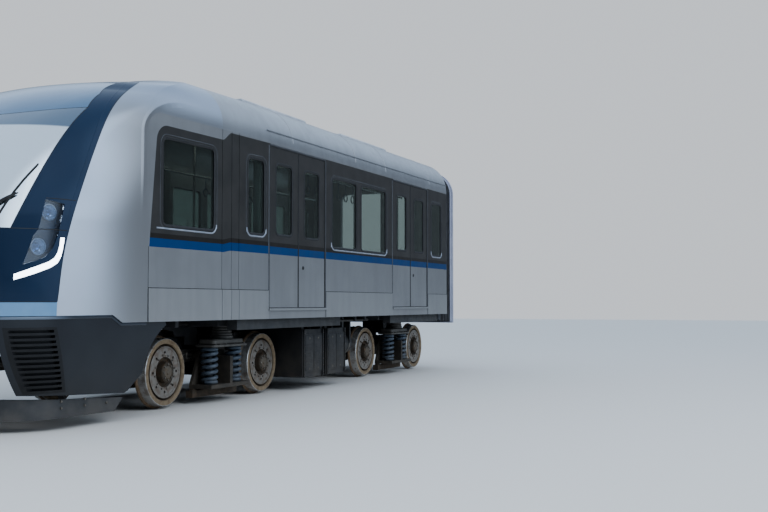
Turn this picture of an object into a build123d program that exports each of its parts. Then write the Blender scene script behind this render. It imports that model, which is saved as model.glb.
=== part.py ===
"""Light metro car, front half of a two-car unit, drawn at real size in millimetres.

X runs forward to the nose, Y to the left, Z up. The origin lies under the middle of
the whole car at the level of the lowest wheel flange. Places along the car are given
as distances ahead of the rear wall and turned into X by the function ahead.
"""
from build123d import *
import math
import os

os.makedirs("parts", exist_ok=True)

# Car body
NOSE_AHEAD = 10680
GANGWAY_REACH = 600
HALF_WIDTH = 1325
TAPER_START = 6400
TAPER_DEG = 2.6
OUTLINE_BACK = 1200
SKIRT_Z = 960
FLOOR_Z = 1075
FLOOR_T = 115
HEADSTOCK_LOW = 860
CANT_Z = 3080
SHOULDER_Z = 3110
SHOULDER_R = 500
CROWN_DEG = 75.96
WALL_T = 60
MASK_JOINT = 8610
ROOF_JOINT = 7330
SEAM = 6
SEAM_DEPTH = 8
SKIRT_SEAM_Z = 1300
SKIRT_OUT = 10
GUTTER_Z = 3215
GUTTER_OUT = 12

# Doors and windows
DOOR_WIDTH = 1500
DOOR_LOW = 1085
DOOR_HIGH = 3035
DOOR_T = 44
DOOR_INSET = 5
LEAF_GLASS = 430
LEAF_GLASS_LOW = 1970
WINDOW_HIGH = 2840
WINDOW_R = 70
GLASS_T = 12
GLASS_INSET = 6
SILL_OUT = 24
SILL_H = 26

# Front end
LIP_LOW = 1035
LIP_HIGH = 1156
STEP_START = 8990
STEP_END = 9130
SCREEN_T = 20
CAP_BACK = 8560
LAMP_Y = 990
LAMP_R = 40
LAMP_GROW = 35
LAMP_INNER_Y = 930
VALANCE_T = 40
POCKET_HALF = 900
POCKET_HIGH = 925
GRILLE_INNER = 940
GRILLE_LOW = 345
GRILLE_HIGH = 935
GRILLE_FRAME = 28
LOUVRES = 12
LOUVRE_GAP = 24
PLOUGH_T = 45
PLOUGH_TIP = 10270
PLOUGH_NARROW = 130

# Gangway
GANGWAY_LOW = 820
FRAME_REACH = 110
FOLDS = 6
FOLD_OUTER = 105
FOLD_INNER = 165
BELLOWS_INSIDE = 240
DOORWAY_HALF = 700
DOORWAY_HIGH = 3135
DOORWAY_R = 120

# Running gear
GAUGE_FACE = 680
WHEEL_R = 370
FLANGE_R = 398
FLANGE_T = 32
TYRE_W = 130
RIM_R = 312
DISC_R = 280
DISC_INNER_R = 165
HUB_R = 120
AXLE_R = 75
AXLE_END = 830
WHEELBASE = 2100
FRONT_BOGIE = 6650
REAR_BOGIE = 1300
FRAME_Y = 520
FRAME_W = 130
BOX_W = 120
BOX_TOP = 600
BOX_R = 140
TUBE_R = 60
TUBE_U = 190
TUBE_Z = 530
TUBE_HALF = 735
SPRING_Y = 860
SPRING_U = 260
COIL_R = 105
COIL_LOW = 215
COIL_HIGH = 640
COILS = 7
WIRE_R = 24
SEAT_T = 45
SEAT_HALF = 430
PLATE_TOP = 730
PAD_Z = 880
MOTOR_U = 470
MOTOR_Z = 440
MOTOR_R = 185
MOTOR_HALF = 330
GEAR_Y = (345, 440)
BRAKE_LOW = 70
RUN_GAP = 0.5

# Couplers
COUPLER_Z = 560
COUPLER_HINGE = 9150
COUPLER_FACE = 10380
HINGE_R = 90

REAR_WALL_X = -(NOSE_AHEAD - GANGWAY_REACH) / 2
TAPER = math.radians(TAPER_DEG)
AXLE_Z = FLANGE_R

# Doorways: middle ahead of the rear wall
DOORS = [1725, 5590]

# Windows: rear edge and front edge ahead of the rear wall, low edge
WINDOWS = [
    (285, 765, 1950),
    (2745, 3665, 1890),
    (3815, 4625, 1890),
    (6450, 6820, 1950),
    (7475, 8395, 1935),
]

# Skirt panels standing proud between the doorways: rear edge and front edge
SKIRTS = [(0, 950), (2500, 4815), (6365, TAPER_START), (TAPER_START, MASK_JOINT)]

# Seams between the wall modules, ahead of the rear wall
MODULE_SEAMS = [7000, 7150, 7335]

# Plan sections of the nose: height, tip ahead of the rear wall, front and corner radius
NOSE_SECTIONS = [
    (940, 10600, 1900, 800),
    (1450, 10680, 1900, 800),
    (2100, 10540, 1850, 800),
    (2800, 9980, 1750, 780),
    (3300, 9060, 1600, 740),
    (3750, 7250, 1500, 700),
]

# Plan sections of the valance: height, tip, how much narrower than the nose
VALANCE_SECTIONS = [
    (250, 10300, 105),
    (660, 10520, 35),
    (LIP_LOW, 10610, 10),
]

# Side-view outlines at the front: place ahead of the rear wall and height
LAMP_OUTLINE = [
    (9980, 2060), (9790, 2030), (9868, 1745), (9932, 1620),
    (10010, 1545), (10200, 1475), (10112, 1730), (10065, 1790),
]
LAMP_BOWLS = [(9850, 1930), (9900, 1760), (9990, 1610)]
STRIP_OUTER = [(9786, 1730), (9800, 1650), (9828, 1560), (9872, 1500)]
STRIP_OUTER = STRIP_OUTER + [(9952, 1458), (10136, 1390), (10262, 1345)]
STRIP_INNER = [(10262, 1395), (10136, 1448), (9965, 1512), (9905, 1548)]
STRIP_INNER = STRIP_INNER + [(9868, 1600), (9848, 1660), (9838, 1730)]
STEP_SIDE = [(STEP_START, SKIRT_Z), (STEP_END, LIP_LOW), (11000, LIP_LOW), (11000, 0), (STEP_START, 0)]
PLOUGH_SIDE = [(8810, 232), (8930, 108), (10600, 108), (10600, 330)]


def ahead(u):
    """X of a place u mm ahead of the rear wall."""
    return REAR_WALL_X + u


def half_at(u):
    """Half width of the body u mm ahead of the rear wall."""
    return HALF_WIDTH - max(0.0, u - TAPER_START) * math.tan(TAPER)


def body_profile(half, inset, bottom):
    """Cross-section lines of the body: upright walls, round shoulders, flat crown arc."""
    angle = math.radians(CROWN_DEG)
    r = SHOULDER_R - inset
    cy = half - SHOULDER_R
    wall = half - inset
    top = (cy + r * math.cos(angle), SHOULDER_Z + r * math.sin(angle))
    mid = (cy + r * math.cos(angle / 2), SHOULDER_Z + r * math.sin(angle / 2))
    crown_r = cy / math.cos(angle) + SHOULDER_R - inset
    crown = SHOULDER_Z - cy * math.tan(angle) + crown_r
    Line((wall, bottom), (wall, SHOULDER_Z))
    ThreePointArc((wall, SHOULDER_Z), mid, top)
    ThreePointArc(top, (0, crown), (-top[0], top[1]))
    ThreePointArc((-top[0], top[1]), (-mid[0], mid[1]), (-wall, SHOULDER_Z))
    Line((-wall, SHOULDER_Z), (-wall, bottom))
    Line((-wall, bottom), (wall, bottom))


def nose_outline(tip, front_r, corner_r, inset):
    """Plan outline of the front: tapered sides, round corners and a front arc."""
    cos_t = math.cos(TAPER)
    sin_t = math.sin(TAPER)
    start_x = ahead(TAPER_START - OUTLINE_BACK)
    start_y = HALF_WIDTH + OUTLINE_BACK * math.tan(TAPER) - inset / cos_t
    arc_x = ahead(tip) - front_r
    rc = corner_r - inset
    rf = front_r - inset
    base_x = start_x - rc * sin_t - arc_x
    base_y = start_y - rc * cos_t
    b = base_x * cos_t - base_y * sin_t
    c = base_x * base_x + base_y * base_y - (rf - rc) ** 2
    s = math.sqrt(b * b - c) - b
    cx = arc_x + base_x + s * cos_t
    cy = base_y - s * sin_t
    start = (cx + rc * sin_t, cy + rc * cos_t)
    reach = math.hypot(cx - arc_x, cy)
    end = (cx + rc * (cx - arc_x) / reach, cy + rc * cy / reach)
    half_turn = (math.atan2(cos_t, sin_t) + math.atan2(cy, cx - arc_x)) / 2
    mid = (cx + rc * math.cos(half_turn), cy + rc * math.sin(half_turn))
    Line((start_x, start_y), start)
    ThreePointArc(start, mid, end)
    ThreePointArc(end, (arc_x + rf, 0), (end[0], -end[1]))
    ThreePointArc((end[0], -end[1]), (mid[0], -mid[1]), (start[0], -start[1]))
    Line((start[0], -start[1]), (start_x, -start_y))
    Line((start_x, -start_y), (start_x, start_y))


def front_body(inset):
    """Front part of the body as one solid, shrunk by inset on every side."""
    with BuildPart(mode=Mode.PRIVATE) as section:
        for u in (TAPER_START, NOSE_AHEAD + 200):
            with BuildSketch(Plane.YZ.offset(ahead(u))):
                with BuildLine():
                    body_profile(half_at(u), inset, SKIRT_Z - inset / 3)
                make_face()
        loft(ruled=True)
    with BuildPart(mode=Mode.PRIVATE) as nose:
        for height, tip, front_r, corner_r in NOSE_SECTIONS:
            with BuildSketch(Plane.XY.offset(height)):
                with BuildLine():
                    nose_outline(tip, front_r, corner_r, inset)
                make_face()
        loft()
        add(section.part, mode=Mode.INTERSECT)
    return nose.part


def slab(u0, u1, y0, y1, z0, z1, mode=Mode.ADD):
    """Block between two places along, across and up, in the piece in hand."""
    with Locations((ahead((u0 + u1) / 2), (y0 + y1) / 2, (z0 + z1) / 2)):
        Box(abs(u1 - u0), abs(y1 - y0), abs(z1 - z0), mode=mode)


def crossbar(u, z, y0, y1, r, mode=Mode.ADD):
    """Round bar lying across the car, in the piece in hand."""
    with Locations((ahead(u), (y0 + y1) / 2, z)):
        Cylinder(r, abs(y1 - y0), rotation=(90, 0, 0), mode=mode)


def upright(u, y, z0, z1, r, mode=Mode.ADD):
    """Upright round bar, in the piece in hand."""
    with Locations((ahead(u), y, (z0 + z1) / 2)):
        Cylinder(r, z1 - z0, mode=mode)


def lengthwise(u0, u1, y, z, r, mode=Mode.ADD):
    """Round bar lying along the car, in the piece in hand."""
    with Locations((ahead((u0 + u1) / 2), y, z)):
        Cylinder(r, abs(u1 - u0), rotation=(0, 90, 0), mode=mode)


def zone(u0, u1, y0, y1, z0, z1):
    """Separate block that cuts or keeps a part of another piece."""
    with BuildPart(mode=Mode.PRIVATE) as block:
        slab(u0, u1, y0, y1, z0, z1)
    return block.part


def side_prism(points, grow=0, y0=-2000, y1=2000):
    """Prism across the car from an outline in side view, given as ahead and height."""
    with BuildPart(mode=Mode.PRIVATE) as prism:
        with BuildSketch(Plane.XZ.offset(-y1)):
            with BuildLine():
                Polyline([(ahead(u), z) for u, z in points], close=True)
            make_face()
            if grow:
                offset(amount=grow)
        extrude(amount=y1 - y0)
    return prism.part


def save(piece, label):
    """Names a finished piece and writes it to its own file."""
    piece.part.label = label
    export_step(piece.part, "parts/" + label + ".step")
    state = "" if piece.part.is_valid else "not valid"
    print(label, len(piece.part.solids()), state, round(piece.part.volume / 1e6, 1))


def save_both_sides(left_piece, label):
    """Writes a left piece, and its mirror image as the right one."""
    save(left_piece, label + "_left")
    with BuildPart() as right_piece:
        add(mirror(left_piece.part, about=Plane.XZ, mode=Mode.PRIVATE))
    save(right_piece, label + "_right")


# Nested bodies that the front pieces are cut from
outer_front = front_body(0)
glazing_front = front_body(SCREEN_T)
inner_front = front_body(WALL_T)
with BuildPart() as front_shell:
    add(outer_front)
    add(inner_front, mode=Mode.SUBTRACT)
with BuildPart() as outer_skin:
    add(outer_front)
    add(glazing_front, mode=Mode.SUBTRACT)

# Side walls: a straight plate and a tapered plate, each in the plane of its outer face
STRAIGHT_SIDE = Plane(origin=(ahead(0), HALF_WIDTH, 0), x_dir=(1, 0, 0), z_dir=(0, -1, 0))
TAPERED_SIDE = Plane(
    origin=(ahead(TAPER_START), HALF_WIDTH, 0),
    x_dir=(math.cos(TAPER), -math.sin(TAPER), 0),
    z_dir=(-math.sin(TAPER), -math.cos(TAPER), 0),
)


def wall_panel(u0, u1, z0, z1, depth, thick, radius=0, mode=Mode.ADD):
    """Plate of the left wall between two places, depth behind its outer face."""
    if u0 < TAPER_START:
        plane = STRAIGHT_SIDE
        x0 = u0
        x1 = u1
    else:
        plane = TAPERED_SIDE
        x0 = (u0 - TAPER_START) / math.cos(TAPER)
        x1 = (u1 - TAPER_START) / math.cos(TAPER)
    with BuildSketch(plane.offset(depth)) as outline:
        with Locations(((x0 + x1) / 2, (z0 + z1) / 2)):
            if radius:
                RectangleRounded(x1 - x0, z1 - z0, radius)
            else:
                Rectangle(x1 - x0, z1 - z0)
    extrude(outline.sketch, amount=thick, mode=mode)


with BuildPart() as side_wall:
    wall_panel(0, TAPER_START, SKIRT_Z, CANT_Z, 0, WALL_T)
    wall_panel(TAPER_START, MASK_JOINT + WALL_T, SKIRT_Z, CANT_Z, 0, WALL_T)
    slab(MASK_JOINT, MASK_JOINT + 2 * WALL_T, 0, HALF_WIDTH, SKIRT_Z, CANT_Z, mode=Mode.SUBTRACT)
    for door in DOORS:
        u0 = door - DOOR_WIDTH / 2
        u1 = door + DOOR_WIDTH / 2
        wall_panel(u0, u1, DOOR_LOW, DOOR_HIGH, 0, WALL_T, mode=Mode.SUBTRACT)
        wall_panel(u0 - SILL_H, u1 + SILL_H, DOOR_LOW - SILL_H, DOOR_LOW, -SILL_OUT, SILL_OUT)
    for u0, u1, low in WINDOWS:
        wall_panel(u0, u1, low, WINDOW_HIGH, 0, WALL_T, WINDOW_R, mode=Mode.SUBTRACT)
    low = SKIRT_SEAM_Z - SEAM / 2
    for u0, u1 in ((0, TAPER_START), (TAPER_START, MASK_JOINT)):
        wall_panel(u0, u1, low, low + SEAM, 0, SEAM_DEPTH, mode=Mode.SUBTRACT)
    for u0, u1 in SKIRTS:
        wall_panel(u0, u1, SKIRT_Z, low, -SKIRT_OUT, SKIRT_OUT)
    cut = SKIRT_OUT + SEAM_DEPTH
    for u in MODULE_SEAMS:
        wall_panel(u - SEAM / 2, u + SEAM / 2, SKIRT_Z, CANT_Z, -SKIRT_OUT, cut, mode=Mode.SUBTRACT)
save_both_sides(side_wall, "side_wall")

# Plug door leaves with their windows cut
with BuildPart() as door_leaves:
    for door in DOORS:
        for u0, u1 in ((door - DOOR_WIDTH / 2, door), (door, door + DOOR_WIDTH / 2)):
            middle = (u0 + u1) / 2
            g0 = middle - LEAF_GLASS / 2
            g1 = middle + LEAF_GLASS / 2
            wall_panel(u0 + SEAM, u1 - SEAM, DOOR_LOW, DOOR_HIGH - SEAM, DOOR_INSET, DOOR_T)
            wall_panel(g0, g1, LEAF_GLASS_LOW, WINDOW_HIGH, DOOR_INSET, DOOR_T, WINDOW_R, mode=Mode.SUBTRACT)
save_both_sides(door_leaves, "door_leaves")

with BuildPart() as window_glass:
    for u0, u1, low in WINDOWS:
        wall_panel(u0, u1, low, WINDOW_HIGH, GLASS_INSET, GLASS_T, WINDOW_R)
    for door in DOORS:
        for middle in (door - DOOR_WIDTH / 4, door + DOOR_WIDTH / 4):
            g0 = middle - LEAF_GLASS / 2
            g1 = middle + LEAF_GLASS / 2
            wall_panel(g0, g1, LEAF_GLASS_LOW, WINDOW_HIGH, DOOR_INSET + GLASS_INSET, GLASS_T, WINDOW_R)
save_both_sides(window_glass, "window_glass")

# Roof: an arched shell over the straight part and the start of the taper, with gutters
with BuildPart() as straight_bar:
    with BuildSketch(Plane.YZ.offset(ahead(0))):
        with BuildLine():
            body_profile(HALF_WIDTH, 0, SKIRT_Z)
        make_face()
    extrude(amount=TAPER_START)

with BuildPart() as tapered_roof:
    add(front_shell.part)
    add(zone(TAPER_START, ROOF_JOINT, -2000, 2000, CANT_Z, 5000), mode=Mode.INTERSECT)

with BuildPart() as roof_shell:
    with BuildSketch(Plane.YZ.offset(ahead(0))):
        with BuildLine():
            body_profile(HALF_WIDTH, 0, SKIRT_Z)
        make_face()
        with BuildLine():
            body_profile(HALF_WIDTH, WALL_T, SKIRT_Z)
        make_face(mode=Mode.SUBTRACT)
        with Locations((0, CANT_Z / 2)):
            Rectangle(4 * HALF_WIDTH, CANT_Z, mode=Mode.SUBTRACT)
        gutter_y = HALF_WIDTH - SHOULDER_R + math.sqrt(SHOULDER_R ** 2 - (GUTTER_Z - SHOULDER_Z) ** 2)
        with Locations((gutter_y, GUTTER_Z), (-gutter_y, GUTTER_Z)):
            Rectangle(2 * GUTTER_OUT, GUTTER_OUT)
    extrude(amount=TAPER_START)
    add(tapered_roof.part)
save(roof_shell, "roof_shell")

# Two low climate units on the crown of the roof
UNIT_HALF = 550
UNIT_TOP = 3790
UNITS = [(900, 2700), (3900, 5700)]
with BuildPart() as roof_climate_units:
    for u0, u1 in UNITS:
        slab(u0, u1, -UNIT_HALF, UNIT_HALF, SHOULDER_Z, UNIT_TOP)
    top_edges = roof_climate_units.faces().sort_by(Axis.Z)[-len(UNITS):].edges()
    fillet(top_edges, radius=35)
    for u0, u1 in UNITS:
        fans = [u0 + 0.3 * (u1 - u0), u0 + 0.7 * (u1 - u0)]
        with Locations([(ahead(u), 0, UNIT_TOP) for u in fans]):
            Cylinder(260, 30, mode=Mode.SUBTRACT)
            Cylinder(70, 30)
    add(straight_bar.part, mode=Mode.SUBTRACT)
save(roof_climate_units, "roof_climate_units")

# Rear edge of the glossy front in side view, and the split lines of its panels
with BuildPart() as glossy_zone:
    with BuildSketch(Plane.XZ.offset(-2000)):
        with BuildLine():
            ThreePointArc((ahead(9866), 900), (ahead(9850), 1370), (ahead(9722), 1938))
            ThreePointArc((ahead(9722), 1938), (ahead(9470), 2467), (ahead(9065), 3053))
            ThreePointArc((ahead(9065), 3053), (ahead(8605), 3345), (ahead(8150), 3560))
            Polyline((ahead(8150), 3560), (ahead(8150), 3800), (ahead(11000), 3800))
            Polyline((ahead(11000), 3800), (ahead(11000), 900), (ahead(9866), 900))
        make_face()
    extrude(amount=4000)

with BuildPart() as screen_zone:
    with BuildSketch(Plane.YZ.offset(ahead(8500))):
        with BuildLine():
            ThreePointArc((1030, 2996), (0, 2865), (-1030, 2996))
            ThreePointArc((-1030, 2996), (-1062, 2560), (-1000, 1790))
            Line((-1000, 1790), (1000, 1790))
            ThreePointArc((1000, 1790), (1062, 2560), (1030, 2996))
        make_face()
    extrude(amount=2500)

with BuildPart() as cap_zone:
    with BuildSketch(Plane.YZ.offset(ahead(CAP_BACK))):
        with BuildLine():
            ThreePointArc((1030, 2996), (0, 2865), (-1030, 2996))
            Polyline((-1030, 2996), (-945, 3190), (-760, 3400), (-700, 3600), (700, 3600))
            Polyline((700, 3600), (760, 3400), (945, 3190), (1030, 2996))
        make_face()
    extrude(amount=2500)

lamp_prism = side_prism(LAMP_OUTLINE)
with BuildPart() as front_group:
    add(zone(MASK_JOINT, 11000, -2000, 2000, 0, CANT_Z))
    add(zone(ROOF_JOINT, 11000, -2000, 2000, CANT_Z, 5000))
    add(side_prism(STEP_SIDE), mode=Mode.SUBTRACT)
    add(front_shell.part, mode=Mode.INTERSECT)

# Silver arch mask behind the glossy front
with BuildPart() as cab_mask:
    add(front_group.part)
    add(glossy_zone.part, mode=Mode.SUBTRACT)
save(cab_mask, "cab_mask")

with BuildPart() as glossy_front:
    add(front_group.part)
    add(glossy_zone.part, mode=Mode.INTERSECT)

with BuildPart() as nose_lip:
    add(glossy_front.part)
    add(zone(STEP_END, 11000, -2000, 2000, LIP_LOW, LIP_HIGH), mode=Mode.INTERSECT)
save(nose_lip, "nose_lip")

with BuildPart() as windscreen:
    add(outer_skin.part)
    add(screen_zone.part, mode=Mode.INTERSECT)
    add(glossy_zone.part, mode=Mode.INTERSECT)
save(windscreen, "windscreen")

with BuildPart() as front_roof_cap:
    add(glossy_front.part)
    add(cap_zone.part, mode=Mode.INTERSECT)
save(front_roof_cap, "front_roof_cap")

with BuildPart() as light_strips:
    add(side_prism(STRIP_OUTER + STRIP_INNER))
    add(outer_skin.part, mode=Mode.INTERSECT)
    add(glossy_zone.part, mode=Mode.INTERSECT)
save(light_strips, "light_strips")

with BuildPart() as front_surround:
    add(glossy_front.part)
    add(zone(8000, 11000, -2000, 2000, 0, LIP_HIGH), mode=Mode.SUBTRACT)
    add(screen_zone.part, mode=Mode.SUBTRACT)
    add(cap_zone.part, mode=Mode.SUBTRACT)
    add(lamp_prism, mode=Mode.SUBTRACT)
    add(light_strips.part, mode=Mode.SUBTRACT)
save(front_surround, "front_surround")

with BuildPart() as headlamp_glass:
    add(outer_skin.part)
    add(lamp_prism, mode=Mode.INTERSECT)
save(headlamp_glass, "headlamp_glass")

# Lamp housings behind the glass, seated on the inner face of the surround
with BuildPart() as headlamps:
    for side in (-1, 1):
        low_y = min(side * LAMP_INNER_Y, side * 2000)
        add(side_prism(LAMP_OUTLINE, LAMP_GROW, low_y, low_y + 2000 - LAMP_INNER_Y))
    add(inner_front, mode=Mode.INTERSECT)
    for u, z in LAMP_BOWLS:
        with BuildSketch(Plane.YZ.offset(ahead(u))):
            with Locations((LAMP_Y, z), (-LAMP_Y, z)):
                Circle(LAMP_R)
        extrude(amount=800, mode=Mode.SUBTRACT)
save(headlamps, "headlamps")

# Bumper valance around the coupler pocket, with louvred grilles beside it
def valance_body(inset):
    """Loft of the lower front, narrower towards the bottom."""
    with BuildPart(mode=Mode.PRIVATE) as low_front:
        for height, tip, narrow in VALANCE_SECTIONS:
            with BuildSketch(Plane.XY.offset(height)):
                with BuildLine():
                    nose_outline(tip + narrow, 1900, 800, narrow + inset)
                make_face()
        loft()
    return low_front.part


with BuildPart() as valance_shell:
    add(valance_body(0))
    add(valance_body(VALANCE_T), mode=Mode.SUBTRACT)

with BuildPart() as valance_zone:
    with BuildSketch(Plane.XZ.offset(-2000)):
        with BuildLine():
            Line((ahead(STEP_START), SKIRT_Z - RUN_GAP), (ahead(8310), SKIRT_Z - RUN_GAP))
            Line((ahead(8310), SKIRT_Z - RUN_GAP), (ahead(8294), 924))
            ThreePointArc((ahead(8294), 924), (ahead(8520), 715), (ahead(8600), 463))
            Polyline((ahead(8600), 463), (ahead(8779), 298), (ahead(8830), 274), (ahead(10050), 336))
            Line((ahead(10050), 336), (ahead(11000), 384))
            Line((ahead(11000), 384), (ahead(11000), LIP_LOW - RUN_GAP))
            Line((ahead(11000), LIP_LOW - RUN_GAP), (ahead(STEP_END), LIP_LOW - RUN_GAP))
            Line((ahead(STEP_END), LIP_LOW - RUN_GAP), (ahead(STEP_START), SKIRT_Z - RUN_GAP))
        make_face()
    extrude(amount=4000)

GRILLE_BACK_LOW = 9652
GRILLE_BACK_HIGH = 9850
GRILLE_SIDE = [(GRILLE_BACK_LOW, GRILLE_LOW), (GRILLE_BACK_HIGH, GRILLE_HIGH)]
GRILLE_SIDE = GRILLE_SIDE + [(10600, GRILLE_HIGH), (10600, GRILLE_LOW)]
with BuildPart() as grille_zone:
    for side in (-1, 1):
        low_y = min(side * GRILLE_INNER, side * 1300)
        add(side_prism(GRILLE_SIDE, 0, low_y, low_y + 1300 - GRILLE_INNER))

with BuildPart() as bumper_valance:
    add(valance_shell.part)
    add(valance_zone.part, mode=Mode.INTERSECT)
    add(grille_zone.part, mode=Mode.SUBTRACT)
    slab(9400, 11000, -POCKET_HALF, POCKET_HALF, 0, POCKET_HIGH, mode=Mode.SUBTRACT)
    for side in (-1, 1):
        for u in (8700, 9500):
            slab(u, u + 60, side * 1010, side * (half_at(u) - VALANCE_T), 860, SKIRT_Z)
save(bumper_valance, "bumper_valance")

with BuildPart() as front_grilles:
    add(valance_shell.part)
    add(grille_zone.part, mode=Mode.INTERSECT)
    pitch = (GRILLE_HIGH - GRILLE_LOW - GRILLE_FRAME) / LOUVRES
    rake = (GRILLE_BACK_HIGH - GRILLE_BACK_LOW) / (GRILLE_HIGH - GRILLE_LOW)
    for k in range(LOUVRES):
        z = GRILLE_LOW + GRILLE_FRAME + k * pitch
        back = GRILLE_BACK_LOW + rake * (z - GRILLE_LOW)
        for side in (-1, 1):
            start = side * (GRILLE_INNER + GRILLE_FRAME)
            slab(back + 1.5 * GRILLE_FRAME, 10600, start, side * 1300, z, z + LOUVRE_GAP, mode=Mode.SUBTRACT)
save(front_grilles, "front_grilles")

# Low plough band under the valance, on brackets from the underframe
with BuildPart() as obstacle_deflector:
    for inset, mode in ((0, Mode.ADD), (PLOUGH_T, Mode.SUBTRACT)):
        with BuildSketch(Plane.XY.offset(60)) as band:
            with BuildLine():
                nose_outline(PLOUGH_TIP + PLOUGH_NARROW, 1900, 800, PLOUGH_NARROW + inset)
            make_face()
        extrude(band.sketch, amount=400, mode=mode)
    add(side_prism(PLOUGH_SIDE), mode=Mode.INTERSECT)
    for side in (-1, 1):
        slab(9200, 9240, side * 660, side * 720, 180, HEADSTOCK_LOW)
        slab(9200, 9240, side * 660, side * (half_at(9240) - PLOUGH_NARROW - PLOUGH_T / 2), 180, 230)
        slab(9240, 9320, side * 682, side * 698, 400, HEADSTOCK_LOW)
save(obstacle_deflector, "obstacle_deflector")

# Underframe: floor, sole bars, cross bearers, bolster pads and coupler anchors
SOLE_BARS = [(300, 2400), (4200, 6950)]
BEARERS = [250, 2550, 3050, 3400, 4250, 5250, 7950, 8600]
with BuildPart() as front_floor:
    add(inner_front)
    add(zone(TAPER_START, 10500, -2000, 2000, FLOOR_Z - FLOOR_T, FLOOR_Z), mode=Mode.INTERSECT)
with BuildPart() as underframe:
    slab(WALL_T, TAPER_START, WALL_T - HALF_WIDTH, HALF_WIDTH - WALL_T, FLOOR_Z - FLOOR_T, FLOOR_Z)
    add(front_floor.part)
    for side in (-1, 1):
        for u0, u1 in SOLE_BARS:
            slab(u0, u1, side * 1120, side * 1250, 840, SKIRT_Z)
        slab(0, 9300, side * 380, side * 500, HEADSTOCK_LOW, SKIRT_Z)
    for u in BEARERS:
        slab(u - 30, u + 30, -1120, 1120, 890, SKIRT_Z)
    for bogie in (FRONT_BOGIE, REAR_BOGIE):
        slab(bogie - 330, bogie + 330, -1010, 1010, PAD_Z, SKIRT_Z)
    slab(9100, 9300, -720, 720, HEADSTOCK_LOW, SKIRT_Z)
    slab(9000, 9300, -200, 200, COUPLER_Z + HINGE_R + 10, SKIRT_Z)
    slab(0, 200, -200, 200, 620, SKIRT_Z)
save(underframe, "underframe")

# Rear end wall with the gangway doorway and its collar
with BuildPart() as rear_end_wall:
    with BuildSketch(Plane.YZ.offset(ahead(0))):
        with BuildLine():
            body_profile(HALF_WIDTH, WALL_T, FLOOR_Z)
        make_face()
    extrude(amount=WALL_T)
    middle_z = (FLOOR_Z + DOORWAY_HIGH) / 2
    with BuildSketch(Plane.YZ.offset(ahead(WALL_T))):
        with Locations((0, middle_z)):
            RectangleRounded(2 * DOORWAY_HALF + 120, DOORWAY_HIGH - FLOOR_Z, DOORWAY_R)
    extrude(amount=20)
    with BuildSketch(Plane.YZ.offset(ahead(0))):
        with Locations((0, middle_z)):
            RectangleRounded(2 * DOORWAY_HALF, DOORWAY_HIGH - FLOOR_Z - 20, DOORWAY_R)
    extrude(amount=2 * WALL_T, mode=Mode.SUBTRACT)
save(rear_end_wall, "rear_end_wall")

# Gangway half: folded bellows, end ring and bridge plate
FOLD_PITCH = (GANGWAY_REACH - FRAME_REACH) / FOLDS


def hoop(u0, u1, outer, inner):
    """Hoop around the passage between two insets of the body's cross-section."""
    with BuildPart(mode=Mode.PRIVATE) as ring:
        with BuildSketch(Plane.YZ.offset(ahead(u0))):
            with BuildLine():
                body_profile(HALF_WIDTH, outer, GANGWAY_LOW + outer - FOLD_OUTER)
            make_face()
            with BuildLine():
                body_profile(HALF_WIDTH, inner, GANGWAY_LOW + inner - FOLD_OUTER)
            make_face(mode=Mode.SUBTRACT)
        extrude(amount=u1 - u0)
    return ring.part


with BuildPart() as gangway_bellows:
    for k in range(2 * FOLDS + 1):
        inset = FOLD_INNER if k % 2 == 0 else FOLD_OUTER
        with BuildSketch(Plane.YZ.offset(ahead(FRAME_REACH - GANGWAY_REACH + k * FOLD_PITCH / 2))):
            with BuildLine():
                body_profile(HALF_WIDTH, inset, GANGWAY_LOW + inset - FOLD_OUTER)
            make_face()
    loft(ruled=True)
    with BuildSketch(Plane.YZ.offset(ahead(-GANGWAY_REACH))):
        with BuildLine():
            body_profile(HALF_WIDTH, BELLOWS_INSIDE, GANGWAY_LOW + BELLOWS_INSIDE - FOLD_OUTER)
        make_face()
    extrude(amount=2 * GANGWAY_REACH, mode=Mode.SUBTRACT)
save(gangway_bellows, "gangway_bellows")

with BuildPart() as gangway_frame:
    add(hoop(-GANGWAY_REACH, -GANGWAY_REACH + 45, 80, BELLOWS_INSIDE))
    add(hoop(-GANGWAY_REACH + 45, -GANGWAY_REACH + FRAME_REACH, 100, BELLOWS_INSIDE))
save(gangway_frame, "gangway_frame")

with BuildPart() as gangway_floor:
    slab(-GANGWAY_REACH, 0, -620, 620, 1030, FLOOR_Z)
    for side in (-1, 1):
        for u in (-GANGWAY_REACH + 55, -60):
            slab(u - 40, u + 40, side * 440, side * 560, GANGWAY_LOW + BELLOWS_INSIDE - FOLD_OUTER, 1030)
save(gangway_floor, "gangway_floor")

# Couplers: automatic head in front on a hinge, drawbar at the rear
with BuildPart() as front_coupler:
    upright(COUPLER_HINGE, 0, COUPLER_Z - 60, COUPLER_Z + HINGE_R + 10, HINGE_R)
    lengthwise(COUPLER_HINGE + HINGE_R - 20, 10200, 0, COUPLER_Z, 70)
    lengthwise(9500, 9800, 0, COUPLER_Z, 105)
    with BuildSketch(Plane.YZ.offset(ahead(10150))):
        with Locations((0, COUPLER_Z)):
            RectangleRounded(460, 340, 60)
    extrude(amount=COUPLER_FACE - 10150)
    with BuildSketch(Plane.YZ.offset(ahead(10180))):
        with Locations((0, COUPLER_Z - 190)):
            RectangleRounded(380, 90, 30)
    extrude(amount=150)
    with Locations((ahead(COUPLER_FACE + 30), 115, COUPLER_Z)):
        Cone(80, 45, 60, rotation=(0, 90, 0))
    with Locations((ahead(COUPLER_FACE - 60), -115, COUPLER_Z)):
        Cone(45, 85, 120, rotation=(0, 90, 0), mode=Mode.SUBTRACT)
save(front_coupler, "front_coupler")

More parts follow.
